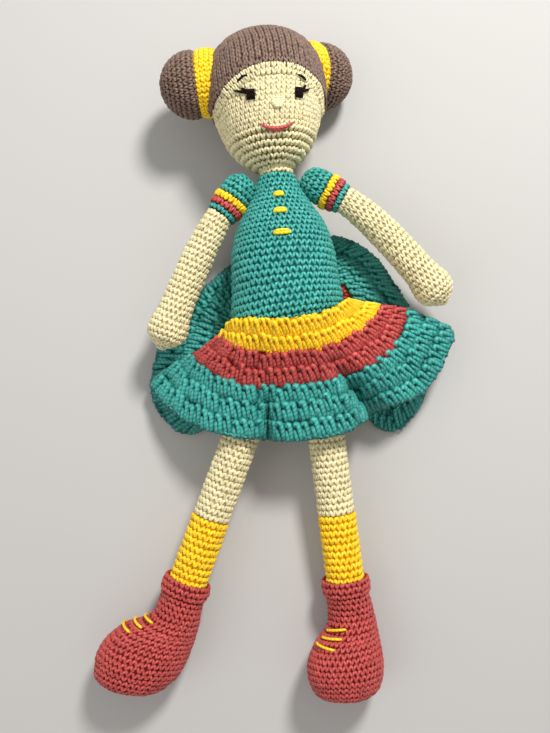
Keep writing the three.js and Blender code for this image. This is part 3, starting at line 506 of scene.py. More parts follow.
def yarn_material(name, colour, shade, crest, sheen=0.05, specular=0.42):
    """Plied yarn: a twist along each strand, fine fibres, a tone of its own for each strand, painted shade
    in its grooves and a painted highlight on its crests.
    """
    material, tree, surface, place = new_material(name, 0.5, specular)
    yarn_map = tree.nodes.new("ShaderNodeUVMap")
    yarn_map.uv_map = "Yarn"
    parts = tree.nodes.new("ShaderNodeSeparateXYZ")
    tree.links.new(yarn_map.outputs[0], parts.inputs[0])
    along, around = parts.outputs[0], parts.outputs[1]
    turns = maths(tree, "MULTIPLY_ADD", along, 1 / TWIST, maths(tree, "MULTIPLY", around, 2.0))
    ply = maths(tree, "SINE", maths(tree, "MULTIPLY", turns, 2 * math.pi))
    fibre = noise(tree, place, FIBRE_SCALE, 3)
    blotch = noise(tree, place, BLOTCH_SCALE, 2)
    rise = strand_value(tree, "rise")

    value = maths(tree, "MULTIPLY_ADD", strand_value(tree, "tone"), STRAND_SPREAD, 1 - STRAND_SPREAD / 2)
    value = maths(tree, "MULTIPLY_ADD", ply, 0.05, value)
    for grain, share in ((fibre, 0.2), (blotch, 0.16)):
        value = maths(tree, "MULTIPLY_ADD", grain, share, maths(tree, "SUBTRACT", value, share / 2))
    # Painted shade: the colour goes towards the groove colour deeper in each stitch, and past it where the
    # rise is below nought.
    deep = between(tree, rise, (*linear(shade), 1), (*linear(colour), 1), clamped=False)
    # Painted highlight: the outward side of each strand's crest is painted towards the lighter crest
    # colour.
    outward = maths(tree, "SINE", maths(tree, "MULTIPLY", around, 2 * math.pi))
    lit = maths(tree, "POWER", maths(tree, "MAXIMUM", outward, 0.0), 3.0)
    lit = maths(tree, "MULTIPLY", lit, maths(tree, "MULTIPLY_ADD", ply, 0.25, 0.55))
    tint = tree.nodes.new("ShaderNodeHueSaturation")
    tree.links.new(value, tint.inputs["Value"])
    bright = between(tree, maths(tree, "MULTIPLY", lit, rise), deep, (*linear(crest), 1))
    tree.links.new(bright, tint.inputs["Color"])
    tree.links.new(tint.outputs[0], surface.inputs["Base Color"])
    height = maths(tree, "MULTIPLY_ADD", fibre, 0.5, maths(tree, "MULTIPLY", ply, 0.5))
    bumpy(tree, surface, height, 0.6, 0.0003)
    surface.inputs["Sheen Weight"].default_value = sheen
    surface.inputs["Sheen Roughness"].default_value = 0.4
    return material


def cloth_material(name, colour, scale=420):
    """The fabric between and behind the strands: the same yarn, in shade, with its fibres."""
    material, tree, surface, place = new_material(name, 0.95, 0.1)
    fibre = noise(tree, place, scale, 4)
    pale = linear(colour)
    mottled = between(tree, fibre, (*[c * 0.6 for c in pale], 1), (*pale, 1))
    tree.links.new(mottled, surface.inputs["Base Color"])
    bumpy(tree, surface, fibre, 0.8, 0.0005)
    return material


# Each yarn's colour; its colour darkened as painted shade in the grooves; its colour lightened as a painted
# highlight on the crests; and the fabric behind, the yarn darkened as painted shade between the strands.
COLOURS = {
    "cream": ((223, 211, 162), (198, 185, 137), (236, 227, 190), (200, 188, 142)),
    "brown": ((110, 86, 74), (96, 74, 63), (134, 110, 97), (92, 71, 60)),
    "teal": ((32, 134, 126), (16, 100, 95), (84, 188, 178), (16, 98, 93)),
    "yellow": ((252, 203, 2), (238, 172, 0), (255, 220, 50), (226, 160, 0)),
    "coral": ((172, 55, 52), (136, 34, 34), (202, 94, 88), (124, 32, 33)),
    "dark": ((14, 8, 6), (8, 4, 3), (24, 14, 12), (8, 5, 5)),
}
YARNS = {k: yarn_material(f"{k}_yarn", *c[:3]) for k, c in COLOURS.items() if k != "dark"}
YARNS["dark"] = yarn_material("dark_yarn", *COLOURS["dark"][:3], sheen=0.0, specular=0.08)
CLOTHS = {k: cloth_material(f"{k}_cloth", c[3]) for k, c in COLOURS.items()}
FILLING = cloth_material("fibrefill", (238, 236, 228), scale=200)

# Pieces: each has the name of the CAD node that it stands for


def dress(thing, material, body, node_name):
    """Gives a piece its material and its body, and hides the CAD node that it stands for."""
    thing.data.materials.append(material)
    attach(thing, body)
    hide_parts(node_name)


def worked(name, yarn, kind, body, sides=6):
    """A piece's strands of yarn."""
    dress(yarn_mesh(f"{name}_yarn", yarn, sides), YARNS[kind], body, name)


def soft_form(name, patch, kind, body, inset=1.05, fill=0.9, **shape):
    """A piece's fabric, a little inside its patch."""
    form = patch_mesh(f"{name}_fabric", patch, inset, **shape)
    dress(form, CLOTHS[kind], body, name)


def filling(name, patch, body):
    """A piece's loose filling, well inside its patch."""
    form = patch_mesh(f"{name}_filling", patch, 3.4)
    dress(form, FILLING, body, f"{name}_stuffing")


def crocheted(name, patch, kind, body, stitch, pitch, width, sink, inset=1.05, **rounds):
    """A piece worked in rounds of one stitch over its fabric."""
    yarn = []
    work(yarn, patch, stitch, pitch, width, sink, **rounds)
    worked(name, yarn, kind, body)
    soft_form(name, patch, kind, body, inset)


def dome(radius, steps, base=0):
    """The outline of a half ball, from its top down to its widest."""
    return [(radius * math.sin(a), base + radius * math.cos(a)) for a in np.linspace(0, QUARTER, steps)]


# Torso

WAIST_HALF = 31
TORSO_BOTTOM, TORSO_LENGTH = -14, 92.7
TORSO_DEPTH = 0.92
AXIS_HEIGHT = 32
# The slant of the torso's bottom, and the height where it ends.
LEAN, LEAN_TOP = math.radians(10), 30
# Shares of the torso's length, and of its half width there.
TORSO_OUTLINE = [
    (0, 0), (0.008, 0.32), (0.035, 0.6), (0.085, 0.84), (0.15, 0.975), (0.22, 0.99), (0.32, 0.955),
    (0.5, 0.92), (0.6, 0.87), (0.7, 0.77), (0.79, 0.62), (0.88, 0.47), (0.96, 0.365), (1, 0.332),
]


def lean(x, y):
    """How far the slant moves a point up."""
    return x * math.tan(LEAN) * np.clip((LEAN_TOP - y) / (LEAN_TOP - TORSO_BOTTOM), 0, 1)


outline = [(w * WAIST_HALF, TORSO_BOTTOM + s * TORSO_LENGTH) for s, w in TORSO_OUTLINE]
grid = turned(outline, rows=160)
grid[..., 2] *= TORSO_DEPTH
grid[..., 1] += lean(grid[..., 0], grid[..., 1])
torso = Patch(moved(grid, origin=(0, 0, AXIS_HEIGHT)))
chest = 0.62 * torso.length
yarn = []
work(yarn, torso, SINGLE, 3.6, 3.2, 0.95, start=3, end=chest, relief=0.6)
work(yarn, torso, SINGLE, 3.05, 2.8, 0.85, start=chest, relief=0.55)
worked("torso", yarn, "teal", "torso")
soft_form("torso", torso, "teal", "torso", inset=0.9)
filling("torso", torso, "torso")

# Each button's share of the torso's length and half its own; how far its two strands bow and stand out.
BUTTONS = ((0.6, 4.5), (0.735, 3.45), (0.845, 2.7))
BUTTON_BOW, BUTTON_SUNK, BUTTON_HIGH = 0.82, 0.7, 1.5
for number, (share, half) in enumerate(BUTTONS, 1):
    yarn = []
    height = TORSO_BOTTOM + share * TORSO_LENGTH
    v = torso.v[np.argmin(np.abs(torso.points[:, 0, 1] - height))]
    across = np.linspace(-1, 1, 9)
    bow = BUTTON_BOW * (1 - across**2) ** 0.5
    lift = BUTTON_HIGH * (1 - across**4) - BUTTON_SUNK
    for rank in (-1, 1):
        points, out = torso.sample(across * half / torso.girth(v), v + rank * bow, lift)
        yarn.append(run_strand(points, out, [0.5, 0.85, 0.9, 0.85, 0.5]))
    worked(f"button_stitch_{number}", yarn, "yellow", "torso", sides=8)

# Neck and head

NECK_RADIUS = 9.15
outline = [(NECK_RADIUS * math.cos(a), NECK_RADIUS * math.sin(a)) for a in np.linspace(-0.38, 1.3, 12)]
neck = Patch(moved(turned(outline, 80, 40), origin=NECK_PIVOT))
crocheted("neck", neck, "cream", "neck", SINGLE, 3.2, 2.9, 0.8, drift=0.13)

HEAD_RADIUS, HEAD_RISE, HEAD_DROP = 31.3, 30.6, 46.5
# The crown is a little fuller than an ellipse, which has power 2.
CROWN_POWER = 2.4
HAIR = 2
HEAD_CENTRE = np.array([-2.3, 126.5, 32.8])
HEAD_TURN = turn("Z", math.radians(1.5)) @ turn("Y", math.radians(10.5))
# How low the head's rounds and the hair's rounds start.
HEAD_LOW, CAP_LOW = -0.985 * HEAD_DROP, -27


def egg_radius(height, extra=0.0):
    height = np.asarray(height, float)
    power = np.where(height > 0, CROWN_POWER, 2)
    reach = np.where(height > 0, HEAD_RISE + extra, HEAD_DROP + extra)
    inside = np.maximum(0, 1 - np.abs(height / reach) ** power)
    return (HEAD_RADIUS + extra) * inside ** (1 / power)


def egg_outline(extra, low, steps=60):
    angle = np.linspace(math.asin(low / (HEAD_DROP + extra)), QUARTER, steps)
    crown = np.abs(np.sin(angle)) ** (2 / CROWN_POWER)
    height = np.where(angle > 0, (HEAD_RISE + extra) * crown, (HEAD_DROP + extra) * np.sin(angle))
    return np.stack([egg_radius(height, extra), height], 1)


def to_head(points):
    return (points - HEAD_CENTRE) @ HEAD_TURN


def from_head(points):
    return moved(np.asarray(points, float), HEAD_TURN, HEAD_CENTRE)


# The hairline in shares of a quarter turn from the middle and of the head's radius, from its top.
HAIRLINE = np.array([(0, 0.11), (0.21, 0.09), (0.42, 0), (0.6, -0.12), (0.8, -0.26), (0.97, -0.4)])
sideways = (HEAD_RADIUS + HAIR) * np.sin(HAIRLINE[:, 0] * QUARTER)
hairline = even_curve(np.stack([sideways, HAIRLINE[:, 1] * HEAD_RADIUS], 1), 60)
# Behind this depth the hair's edge is at these heights, at two distances from the middle.
NAPE_DEPTH = -14
NAPE_DISTANCES, NAPE_HEIGHTS = (10, 23), (-26, -13)
# The share of the hairline over which a strip sinks at each end.
STRIP_END = 0.14


def in_hair(points, margin=0.0):
    """Which points are further than a margin inside the hair's edge."""
    local = to_head(points)
    aside = np.abs(local[..., 0])
    edge = np.interp(aside, hairline[:, 0], hairline[:, 1])
    nape = np.interp(aside, NAPE_DISTANCES, NAPE_HEIGHTS)
    return local[..., 1] > np.where(local[..., 2] > NAPE_DEPTH, edge, nape) + margin


def on_head(azimuth, height, lift):
    """Points on the head's surface in its own frame, lifted off it, and the direction off it."""
    azimuth, height = np.broadcast_arrays(np.asarray(azimuth, float), np.asarray(height, float))
    radius = egg_radius(height)
    reach = np.where(height > 0, HEAD_RISE, HEAD_DROP)
    normal = unit(np.stack([radius / HEAD_RADIUS**2, height / reach**2], -1))
    sine, cosine = np.sin(azimuth), np.cos(azimuth)
    out = radius + lift * normal[..., 0]
    points = np.stack([out * sine, height + lift * normal[..., 1], out * cosine], -1)
    away = np.stack([normal[..., 0] * sine, normal[..., 1], normal[..., 0] * cosine], -1)
    return from_head(points), away @ HEAD_TURN.T


def hairline_patch(offsets, lifts, end_lift=1.0):
    """A strip along the hairline: how far each of its rows is towards the crown, and off the head.

    At its two ends each row's lift goes down to a share of it.
    """
    edge = np.vstack([hairline[:0:-1] * (-1, 1), hairline])
    depth = np.sqrt(np.maximum(egg_radius(edge[:, 1], HAIR) ** 2 - edge[:, 0] ** 2, 1))
    middle, out = on_head(np.arctan2(edge[:, 0], depth), edge[:, 1], HAIR)
    side = unit(np.cross(out, np.gradient(middle, axis=0)))
    along = np.linspace(0, 1, len(edge))[:, None]
    share = np.clip(np.minimum(along, 1 - along) / STRIP_END, end_lift, 1)
    rows = [middle + offset * side + (lift * share - HAIR) * out for offset, lift in zip(offsets, lifts)]
    return Patch(np.stack(rows), facing=out)


# The chin is worked up to this far from the head's low end, and the face from there.
CHIN = 27.5
head = Patch(from_head(turned(egg_outline(0, HEAD_LOW), 200, 160)))
yarn = []
bare = {"multiple": 3, "most": 72, "keep": lambda points: ~in_hair(points, 4)}
# The chin's rounds are painted with strong shade in their grooves, darker than the groove colour.
work(yarn, head, RIDGE, 3.9, 2.9, 1.05, end=CHIN, relief=2.2, **bare)
work(yarn, head, FACE, 2.45, 2.8, 0.72, start=CHIN, drift=0.1, relief=0.3, **bare)
brim = hairline_patch((-7.2, -5.3, -3.5, -1.7), (-0.6, 0.35, 1.2, 1.9), 0.3)
work_rows(yarn, brim, FACE, [0, brim.length / 2, brim.length], 2.8, 0.3, relief=0.3)
worked("head", yarn, "cream", "head")
soft_form("head", head, "cream", "head", inset=((CHIN - 3, CHIN + 1), (2.1, 0.7)))
filling("head", head, "head")

cap = Patch(from_head(turned(egg_outline(HAIR, CAP_LOW)[::-1], 216, 160)))
yarn = []
work(yarn, cap, RIB, 2.3, 3.5, 0.62, drift=0.0, keep=lambda p: in_hair(p, 0.8), most=60, relief=0.4)
brim = hairline_patch((-2.0, -0.4, 1.2), (HAIR, HAIR, HAIR))
work_rows(yarn, brim, BAND, [0, brim.length], 2.7, 0.5, relief=0.6)
worked("hair_cap", yarn, "brown", "head")
soft_form("hair_cap", cap, "brown", "head", inset=0.65, fill=0.3, columns=144, rows=100, keep=in_hair)

# Buns and hair ties

BUN_RADIUS, BUN_NECK, UNDER_ROLL = 18.5, 12.5, 2.4
TIE_WIDTH, TIE_RADIUS, TIE_GAP = 11.5, 18.3, 0.3
# How far out each bun reaches and how high it is on the head, and its turn backwards.
BUN_REACHES, BUN_HEIGHTS, BUN_BACKS = (58.3, 54.5), (8.8, 12.2), np.radians([12, 15])
TIE_ROWS = 42

for side, sign, reach, rise, back in zip(SIDES, SIGNS, BUN_REACHES, BUN_HEIGHTS, BUN_BACKS):
    aim = turn("Y", sign * (QUARTER + back)) @ turn("X", QUARTER)
    base = reach - BUN_RADIUS
    under = base - UNDER_ROLL
    outline = [*dome(BUN_RADIUS, 9, base), (BUN_RADIUS - UNDER_ROLL / 3, under), (BUN_NECK, under - 1)]
    bun = Patch(from_head(moved(turned(outline, 120, 90), aim, (0, rise, 0))))
    crocheted(f"{side}_bun", bun, "brown", "head", SINGLE, 3.1, 2.9, 0.85, inset=0.75, relief=0.4)

    outer = under - TIE_GAP
    inner = outer - TIE_WIDTH
    bore = BUN_NECK + TIE_GAP
    roll = TIE_RADIUS - (TIE_RADIUS - bore) / 4
    crest = [(TIE_RADIUS, outer - TIE_WIDTH / 4), (TIE_RADIUS, inner + TIE_WIDTH / 4)]
    outline = [(bore, outer), (roll, outer), *crest, (roll, inner), (bore, inner)]
    tie = Patch(from_head(moved(turned(outline, 120, 60), aim, (0, rise, 0))))
    # The tie's rows run across its width, so its grid is laid on its side.
    hoop_grid = np.concatenate([tie.points, tie.points[:, :1]], 1).transpose(1, 0, 2)[:, 5:-5]
    hoop = Patch(hoop_grid, facing=hoop_grid - tie.points.mean((0, 1)))
    yarn = []
    work_rows(yarn, hoop, FLAT, np.linspace(0, hoop.length, TIE_ROWS + 1), 2.8, 0.7, relief=0.2)
    worked(f"{side}_hair_tie", yarn, "yellow", "head")
    soft_form(f"{side}_hair_tie", tie, "yellow", "head", inset=0.55)

# Face

# How much lower than its middle each embroidered strand lies at its ends.
TUCKED = 0.35


def embroidered(name, kind, *strands):
    """Embroidery on the head, from each strand's places, radii, lift and steps.

    A place is degrees from the head's middle, and a height.
    """
    yarn = []
    for places, radii, lift, steps in strands:
        azimuths, heights = np.array(places, float).T
        lifts = np.full(len(places), lift)
        lifts[[0, -1]] -= TUCKED
        points, out = on_head(np.radians(azimuths), heights, lifts)
        yarn.append(run_strand(points, out, radii, steps))
    worked(name, yarn, kind, "head", sides=8)


# The eye's corners, top then bottom, from its left to its right; the lashes; and the brow.
EYES = {
    "right": (((-29.8, -9.5), (-22.7, -10.1)), ((-31.6, -14.9), (-23.3, -15.4))),
    "left": (((18.3, -10.1), (25.4, -9.8)), ((18.5, -15.4), (26.8, -15.2))),
}
LASHES = {
    "right": (((-30, -11.4), (-37, -10), (-43.7, -8.3)), ((-29.8, -10.8), (-33, -9.4), (-35.6, -8.3))),
    "left": (((25.4, -11.9), (31.5, -10.8), (36.5, -9.5)), ((25.4, -11.2), (28.4, -9.6), (31.2, -8.2))),
}
BROWS = {
    "right": ((-38.7, -4.8), (-35.6, -4.1), (-32.4, -3.2), (-29.8, -2.8), (-26.7, -3.6)),
    "left": ((20.8, -3.8), (25.9, -4.6), (30.8, -5.9)),
}
for side in SIDES:
    (top_first, top_last), (low_first, low_last) = np.array(EYES[side])
    satin = []
    for share in np.linspace(0.07, 0.93, 5):
        top = top_first + share * (top_last - top_first)
        low = low_first + share * (low_last - low_first)
        satin.append(([top + (low - top) * t for t in np.linspace(0, 1, 5)], 0.6, 0.75, None))
    embroidered(f"{side}_eye", "dark", *satin)
    long_lash, short_lash = LASHES[side]
    lashes = ((long_lash, [0.85, 0.75, 0.4], 0.8, 12), (short_lash, [0.8, 0.75, 0.55], 0.8, 12))
    embroidered(f"{side}_lashes", "dark", *lashes)
    embroidered(f"{side}_brow", "dark", (BROWS[side], [0.45, 0.62, 0.62, 0.5], 1.3, 14))

# The nose's middle; and each of its strands: its height, and how far it reaches to either side.
NOSE_MIDDLE = -0.6
NOSE = ((-15.7, 4.4), (-16.7, 6.0), (-17.7, 6.5), (-18.7, 6.0), (-19.6, 4.2))
rounds = [[(NOSE_MIDDLE + a * reach, height) for a in np.linspace(-1, 1, 7)] for height, reach in NOSE]
embroidered("nose", "cream", *[(places, 0.9, 0.3, None) for places in rounds])

MOUTH = (
    (-22.9, -26.8), (-16.4, -28.5), (-9.9, -29.4), (-2.9, -29.6),
    (4.3, -29.3), (11.4, -28.3), (17.9, -26.9),
)
lip = [(azimuth, height - 0.8) for azimuth, height in MOUTH[1:6]]
embroidered(
    "mouth", "coral",
    (MOUTH, [0.4, 0.85, 0.95, 0.85, 0.95, 0.75, 0.4], 0.75, 26),
    (lip, [0.4, 0.7, 0.75, 0.7, 0.4], 0.55, 20),
)

# Sleeves and arms

SHOULDER = np.array([21.7, 72, 32])
PUFF, PUFF_LENGTH = 9.7, 5.4
SLEEVE_TURNS = np.radians([40, 57])
ARM_TURNS = np.radians([29, 40.5])
# Each band's name, radius, width and yarn.
BANDS = (
    ("sleeve_yellow_band", 9.8, 3.7, "yellow"),
    ("sleeve_red_band", 9.1, 3.7, "coral"),
    ("sleeve_cuff", 8.1, 2.6, "teal"),
)
BAND_GAP = 0.3
SHAFT_END = 16.6
# The arm's length, and its radius in the sleeve, halfway and at the wrist; the hand's radius and height.
ARM_LENGTH, ARM_RADII = 98, (7.4, 8.8, 9.6)
HAND, HAND_HEIGHT = 11, 26


def round_patch(outline, rotation, origin, rows=60):
    """A patch turned about its own axis, from an outline that runs down it."""
    return Patch(moved(turned(outline[::-1], 90, rows), rotation, origin))


def arm_patch(sign, bend, rotation, origin):
    """An arm that leaves its sleeve along it, bends, and ends in a round hand."""
    reach = ARM_LENGTH - SHAFT_END
    in_sleeve = np.array([0, -SHAFT_END, 0.0])
    elbow = np.array([0, -SHAFT_END - reach / 4, 0])
    sunk = HAND_HEIGHT - SHOULDER[2]
    tip = np.array([-sign * reach * math.sin(bend), -SHAFT_END - reach * math.cos(bend), sunk])
    t = np.linspace(0, 1, 200)[:, None]
    curve = (1 - t) ** 2 * in_sleeve + 2 * t * (1 - t) * elbow + t**2 * tip
    run = run_along(curve)
    length = run[-1]
    wrist = length - 2 * HAND
    stations = [*zip((0, 0.45 * wrist, wrist), ARM_RADII), (length - 1.35 * HAND, HAND)]
    stations += [(length - HAND * (1 - s), HAND * math.cos(s * QUARTER)) for s in (0.2, 0.5, 0.8, 0.93, 1)]
    profile = even_curve(stations, 120)
    places, radii = profile[::-1].T
    centres = np.stack([np.interp(places, run, curve[:, k]) for k in range(3)], 1)
    along = unit(np.gradient(centres, axis=0))
    across = unit(np.cross(along, [0, 0, 1.0]))
    up = unit(np.cross(across, along))
    cosine, sine = circle(90)
    wheel = cosine[:, None] * across[:, None] + sine[:, None] * up[:, None]
    return Patch(moved(centres[:, None] + np.maximum(radii, 0.02)[:, None, None] * wheel, rotation, origin))


for side, sign, sleeve_turn, arm_turn in zip(SIDES, SIGNS, SLEEVE_TURNS, ARM_TURNS):
    place = SHOULDER * (sign, 1, 1)
    aim = turn("Z", sign * sleeve_turn)
    body = f"{side}_arm"
    puff = round_patch([*dome(PUFF, 7), (PUFF, -PUFF_LENGTH / 2), (PUFF - 0.2, -PUFF_LENGTH)], aim, place)
    crocheted(f"{side}_sleeve_puff", puff, "teal", body, SINGLE, 3.3, 3.1, 0.95)

    start = PUFF_LENGTH + BAND_GAP
    for label, radius, wide, kind in BANDS:
        edge = ((1.6, -0.15), (0.3, -0.15), (0, 0.2))
        rows = [*edge, *((inset, wide - down) for inset, down in edge[::-1])]
        band = round_patch([(radius - inset, -start - down) for inset, down in rows], aim, place, 50)
        crocheted(
            f"{side}_{label}", band, kind, body, BAND, 2 * wide, 2.9, 0.6, inset=0.9,
            start=1.1, end=band.length - 1.1, drift=0.0, relief=0.8,
        )
        start += wide + BAND_GAP

    arm = arm_patch(sign, sleeve_turn - arm_turn, aim, place)
    crocheted(f"{side}_arm", arm, "cream", body, PLAIN, 3.3, 2.85, 0.75, start=1.0, relief=0.25)
    filling(f"{side}_arm", arm, body)

# The steps of a seam's ring, its yarn's radius, and the ring's own radius at the shoulders.
SEAM_STEPS, SEAM_YARN, SHOULDER_SEAM = 25, 0.45, 3.6


def seam(name, place, towards, ball, radius, kind, body):
    """A ring of sewing yarn that joins a limb to the torso."""
    towards = np.array(towards, float)
    centre = np.array(place) + towards * math.sqrt((ball + 0.75) ** 2 - radius**2)
    first = unit(np.cross(towards, [0, 0, 1.0]))
    second = np.cross(towards, first)
    angle = np.linspace(0, 2 * math.pi, SEAM_STEPS)
    points = centre + radius * (np.cos(angle)[:, None] * first + np.sin(angle)[:, None] * second)
    facing = np.broadcast_to(towards, points.shape)
    even = np.ones((1, SEAM_STEPS))
    ring = (points[None], facing[None], SEAM_YARN * even, np.array([0.5]), even)
    worked(name, [ring], kind, body)


for side, sign in zip(SIDES, SIGNS):
    place = SHOULDER * (sign, 1, 1)
    seam(f"{side}_shoulder_seam", place, (-sign, 0, 0), PUFF, SHOULDER_SEAM, "teal", f"{side}_shoulder")

# Legs, socks and boots

HIP_ASIDE, HIP_BELOW, HIP_HEIGHT, HIP_SEAM = 13.5, 22.4, 28, 5.5
LEG, SOCK, SOCK_TOP = 10, 10.3, 89
BOOT_TOP, BOOT_HEIGHT = 124.5, 65.6
CUFF, CUFF_WIDTH, CUFF_ROLL = 13.2, 9, (0.9, 1.4)
HALF_LENGTH, HALF_WIDTH, FORWARD = 23.3, 18.8, 12.5
SOLE = -(BOOT_TOP + BOOT_HEIGHT)
LEG_TURNS = np.radians([24.7, 3.1])
FOOT_TURNS = np.radians([-78, -42])
TOE_LIFTS = np.radians([-6, 12])
# The top lace's height over the sole, the step between laces, half a lace, and a lace's radius.
LACE_TOP, LACE_STEP, LACE_HALF, LACE_YARN = 39.4, 3.4, 7, 0.75
LACE_SLANTS = ((0.4, 0, -0.4), (1.2, 0.3, -1.5))
LACE_SHIFTS = (0.3, -0.05)
# Shares of the boot's height, and of its middle's way forward, half length and half width there.
IN_CUFF = (0.86, 0, 0.515, 0.638)
BOOT_SECTIONS = np.array([
    (0.765, -0.06, 0.525, 0.65), (0.657, -0.09, 0.56, 0.68), (0.59, 0.02, 0.63, 0.73),
    (0.486, 0.42, 0.86, 0.86), (0.346, 0.68, 0.99, 0.98), (0.22, 0.8, 1, 1),
    (0.143, 0.86, 0.925, 0.955), (0.075, 0.92, 0.84, 0.86), (0.03, 1, 0.68, 0.7),
    (0, 0.96, 0.4, 0.42), (0, 0.98, 0.001, 0.001),
])
BOOT_SIZES = np.array([BOOT_HEIGHT, FORWARD, HALF_LENGTH, HALF_WIDTH])
boot_rings = even_curve(np.vstack([IN_CUFF, BOOT_SECTIONS]) * BOOT_SIZES, 160)


def lift_toe(points, angle):
    """Turns the foot's toe up, more and more from the cuff down."""
    sunk = np.clip((-BOOT_TOP - CUFF_WIDTH - points[..., 1]) / (BOOT_HEIGHT - CUFF_WIDTH), 0, 1)
    points[..., 1] += points[..., 2] * math.tan(angle) * sunk
    return points


def foot_reach(angle):
    """How far a foot turned by an angle reaches towards the floor from the leg's axis."""
    edge = math.hypot(HALF_LENGTH * math.cos(angle), HALF_WIDTH * math.sin(angle))
    return edge + 0.9 - FORWARD * math.cos(angle)


def boot_patch(toe_lift, rotation, origin):
    cosine, sine = circle(120)
    height, forward, half_length, half_width = (boot_rings[:, k, None] for k in range(4))
    grid = np.stack([half_width * sine, SOLE + height + 0 * sine, forward + half_length * cosine], 2)
    return Patch(moved(lift_toe(grid, toe_lift)[::-1], rotation, origin))


def lace(height, slant, shift, toe_lift, rotation, origin):
    """A strand over the boot's front, laid at a height over the sole."""
    share = height / BOOT_HEIGHT
    found = [np.interp(-share, -BOOT_SECTIONS[:, 0], column) for column in BOOT_SECTIONS[:, 1:].T]
    forward, half_length, half_width = found * BOOT_SIZES[1:]
    across = np.linspace(-1, 1, 7)
    angles = (across + shift) * LACE_HALF / half_width
    lift = 0.1 + 1.1 * (1 - across**4)
    along = SOLE + height + 0.5 * lift + slant * across
    wide, deep = (half_width + lift) * np.sin(angles), forward + (half_length + lift) * np.cos(angles)
    points = lift_toe(np.stack([wide, along, deep], 1), toe_lift)
    out = unit(np.stack([np.sin(angles), 0.4 + 0 * angles, np.cos(angles)], 1))
    return run_strand(moved(points, rotation, origin), out @ rotation.T, LACE_YARN)


for i, (side, sign) in enumerate(zip(SIDES, SIGNS)):
    x = sign * HIP_ASIDE
    place = np.array([x, lean(x, TORSO_BOTTOM) - HIP_BELOW, HIP_HEIGHT])
    hang = HIP_HEIGHT - foot_reach(FOOT_TURNS[i]) + 0.5
    drop = math.asin(hang / (BOOT_TOP + BOOT_HEIGHT - HALF_WIDTH))
    aim = turn("Z", sign * LEG_TURNS[i]) @ turn("X", drop) @ turn("Y", FOOT_TURNS[i])
    body = f"{side}_leg"

    leg = round_patch([*dome(LEG, 7), (LEG, -30), (LEG, -60), (LEG, -SOCK_TOP + 0.3)], aim, place, 120)
    crocheted(f"{side}_leg", leg, "cream", body, PLAIN, 3.4, 3.0, 0.8, most=20, relief=0.4)
    filling(f"{side}_leg", leg, body)

    sock = round_patch([(SOCK, -SOCK_TOP), (SOCK, -105), (SOCK, -BOOT_TOP - 6)], aim, place)
    crocheted(f"{side}_sock", sock, "yellow", body, SINGLE, 3.8, 3.2, 0.9, most=20, relief=0.8)

    low = BOOT_TOP + CUFF_WIDTH
    inward, down = CUFF_ROLL
    outline = [
        (SOCK + 0.5, -BOOT_TOP - 0.5), (CUFF - inward, -BOOT_TOP), (CUFF, -BOOT_TOP - down),
        (CUFF, -low + down), (CUFF - inward, -low), (SOCK + 0.5, -low),
    ]
    cuff = round_patch(outline, aim, place)
    edges = {"start": 1.0, "end": cuff.length - 1.0}
    crocheted(f"{side}_boot_cuff", cuff, "coral", body, SINGLE, 3.4, 3.2, 1.0, **edges)

    boot = boot_patch(TOE_LIFTS[i], aim, place)
    crocheted(f"{side}_boot", boot, "coral", body, PLAIN, 3.2, 3.0, 0.8, multiple=2, most=46, relief=0.4)

    for k, slant in enumerate(LACE_SLANTS[i]):
        strand_over = lace(LACE_TOP - LACE_STEP * k, slant, LACE_SHIFTS[i], TOE_LIFTS[i], aim, place)
        worked(f"{side}_lace_stitch_{k + 1}", [strand_over], "yellow", body, sides=8)

    seam(f"{side}_hip_seam", place, (0, 1, 0), LEG, HIP_SEAM, "cream", f"{side}_hip")

# Skirt: one full ruffle, seven rows of tall stitches worked down from the waist

SKIRT = 64
SKIRT_HALF = 1.3
SKIRT_COLUMNS, ROW_SAMPLES = 420, 85
POST_WIDTHS = (3.3, 3.6, 3.9, 4.1, 4.3, 4.5, 4.6)
# Each band's name, its yarn, and its rows.
SKIRT_BANDS = (("yellow", "yellow", 0, 2), ("red", "coral", 2, 4), ("teal", "teal", 4, 7))
# Points in hundredths of the skirt's length, along its waist, its two changes of yarn and its hem.
FRONT = [
    [(-51, -3, 50), (-48, -1.5, 66), (-40, -1.5, 78), (-26.5, -4, 90), (-10, -6, 95.7), (10, -6, 95.7),
     (26.5, -3.5, 90), (40, 3, 79), (48.5, 8, 68), (52, 10, 54)],
    [(-59, -11, 48), (-53, -16.5, 61), (-45, -22, 70), (-31, -28, 77.5), (-11, -31, 81.5),
     (10, -31.7, 81.7), (30, -28.6, 76), (50, -21, 66), (67, -10, 56), (80, 5.5, 45)],
    [(-86.5, -24, 33), (-80, -32, 44), (-67, -41.5, 55), (-45, -53.5, 65.5), (-16.5, -57.8, 68.5),
     (9, -58, 70), (37.5, -55, 67), (64, -46, 57), (87, -33, 47), (106, 0, 39)],
    [(-128, -43, 14), (-112.5, -64, 31), (-87.5, -83, 48.5), (-56, -96, 61.5), (-25, -101.5, 56),
     (6, -104, 63), (41, -100, 63), (73, -83, 42), (112.5, -71, 36), (148.5, -21, 26.5)],
]
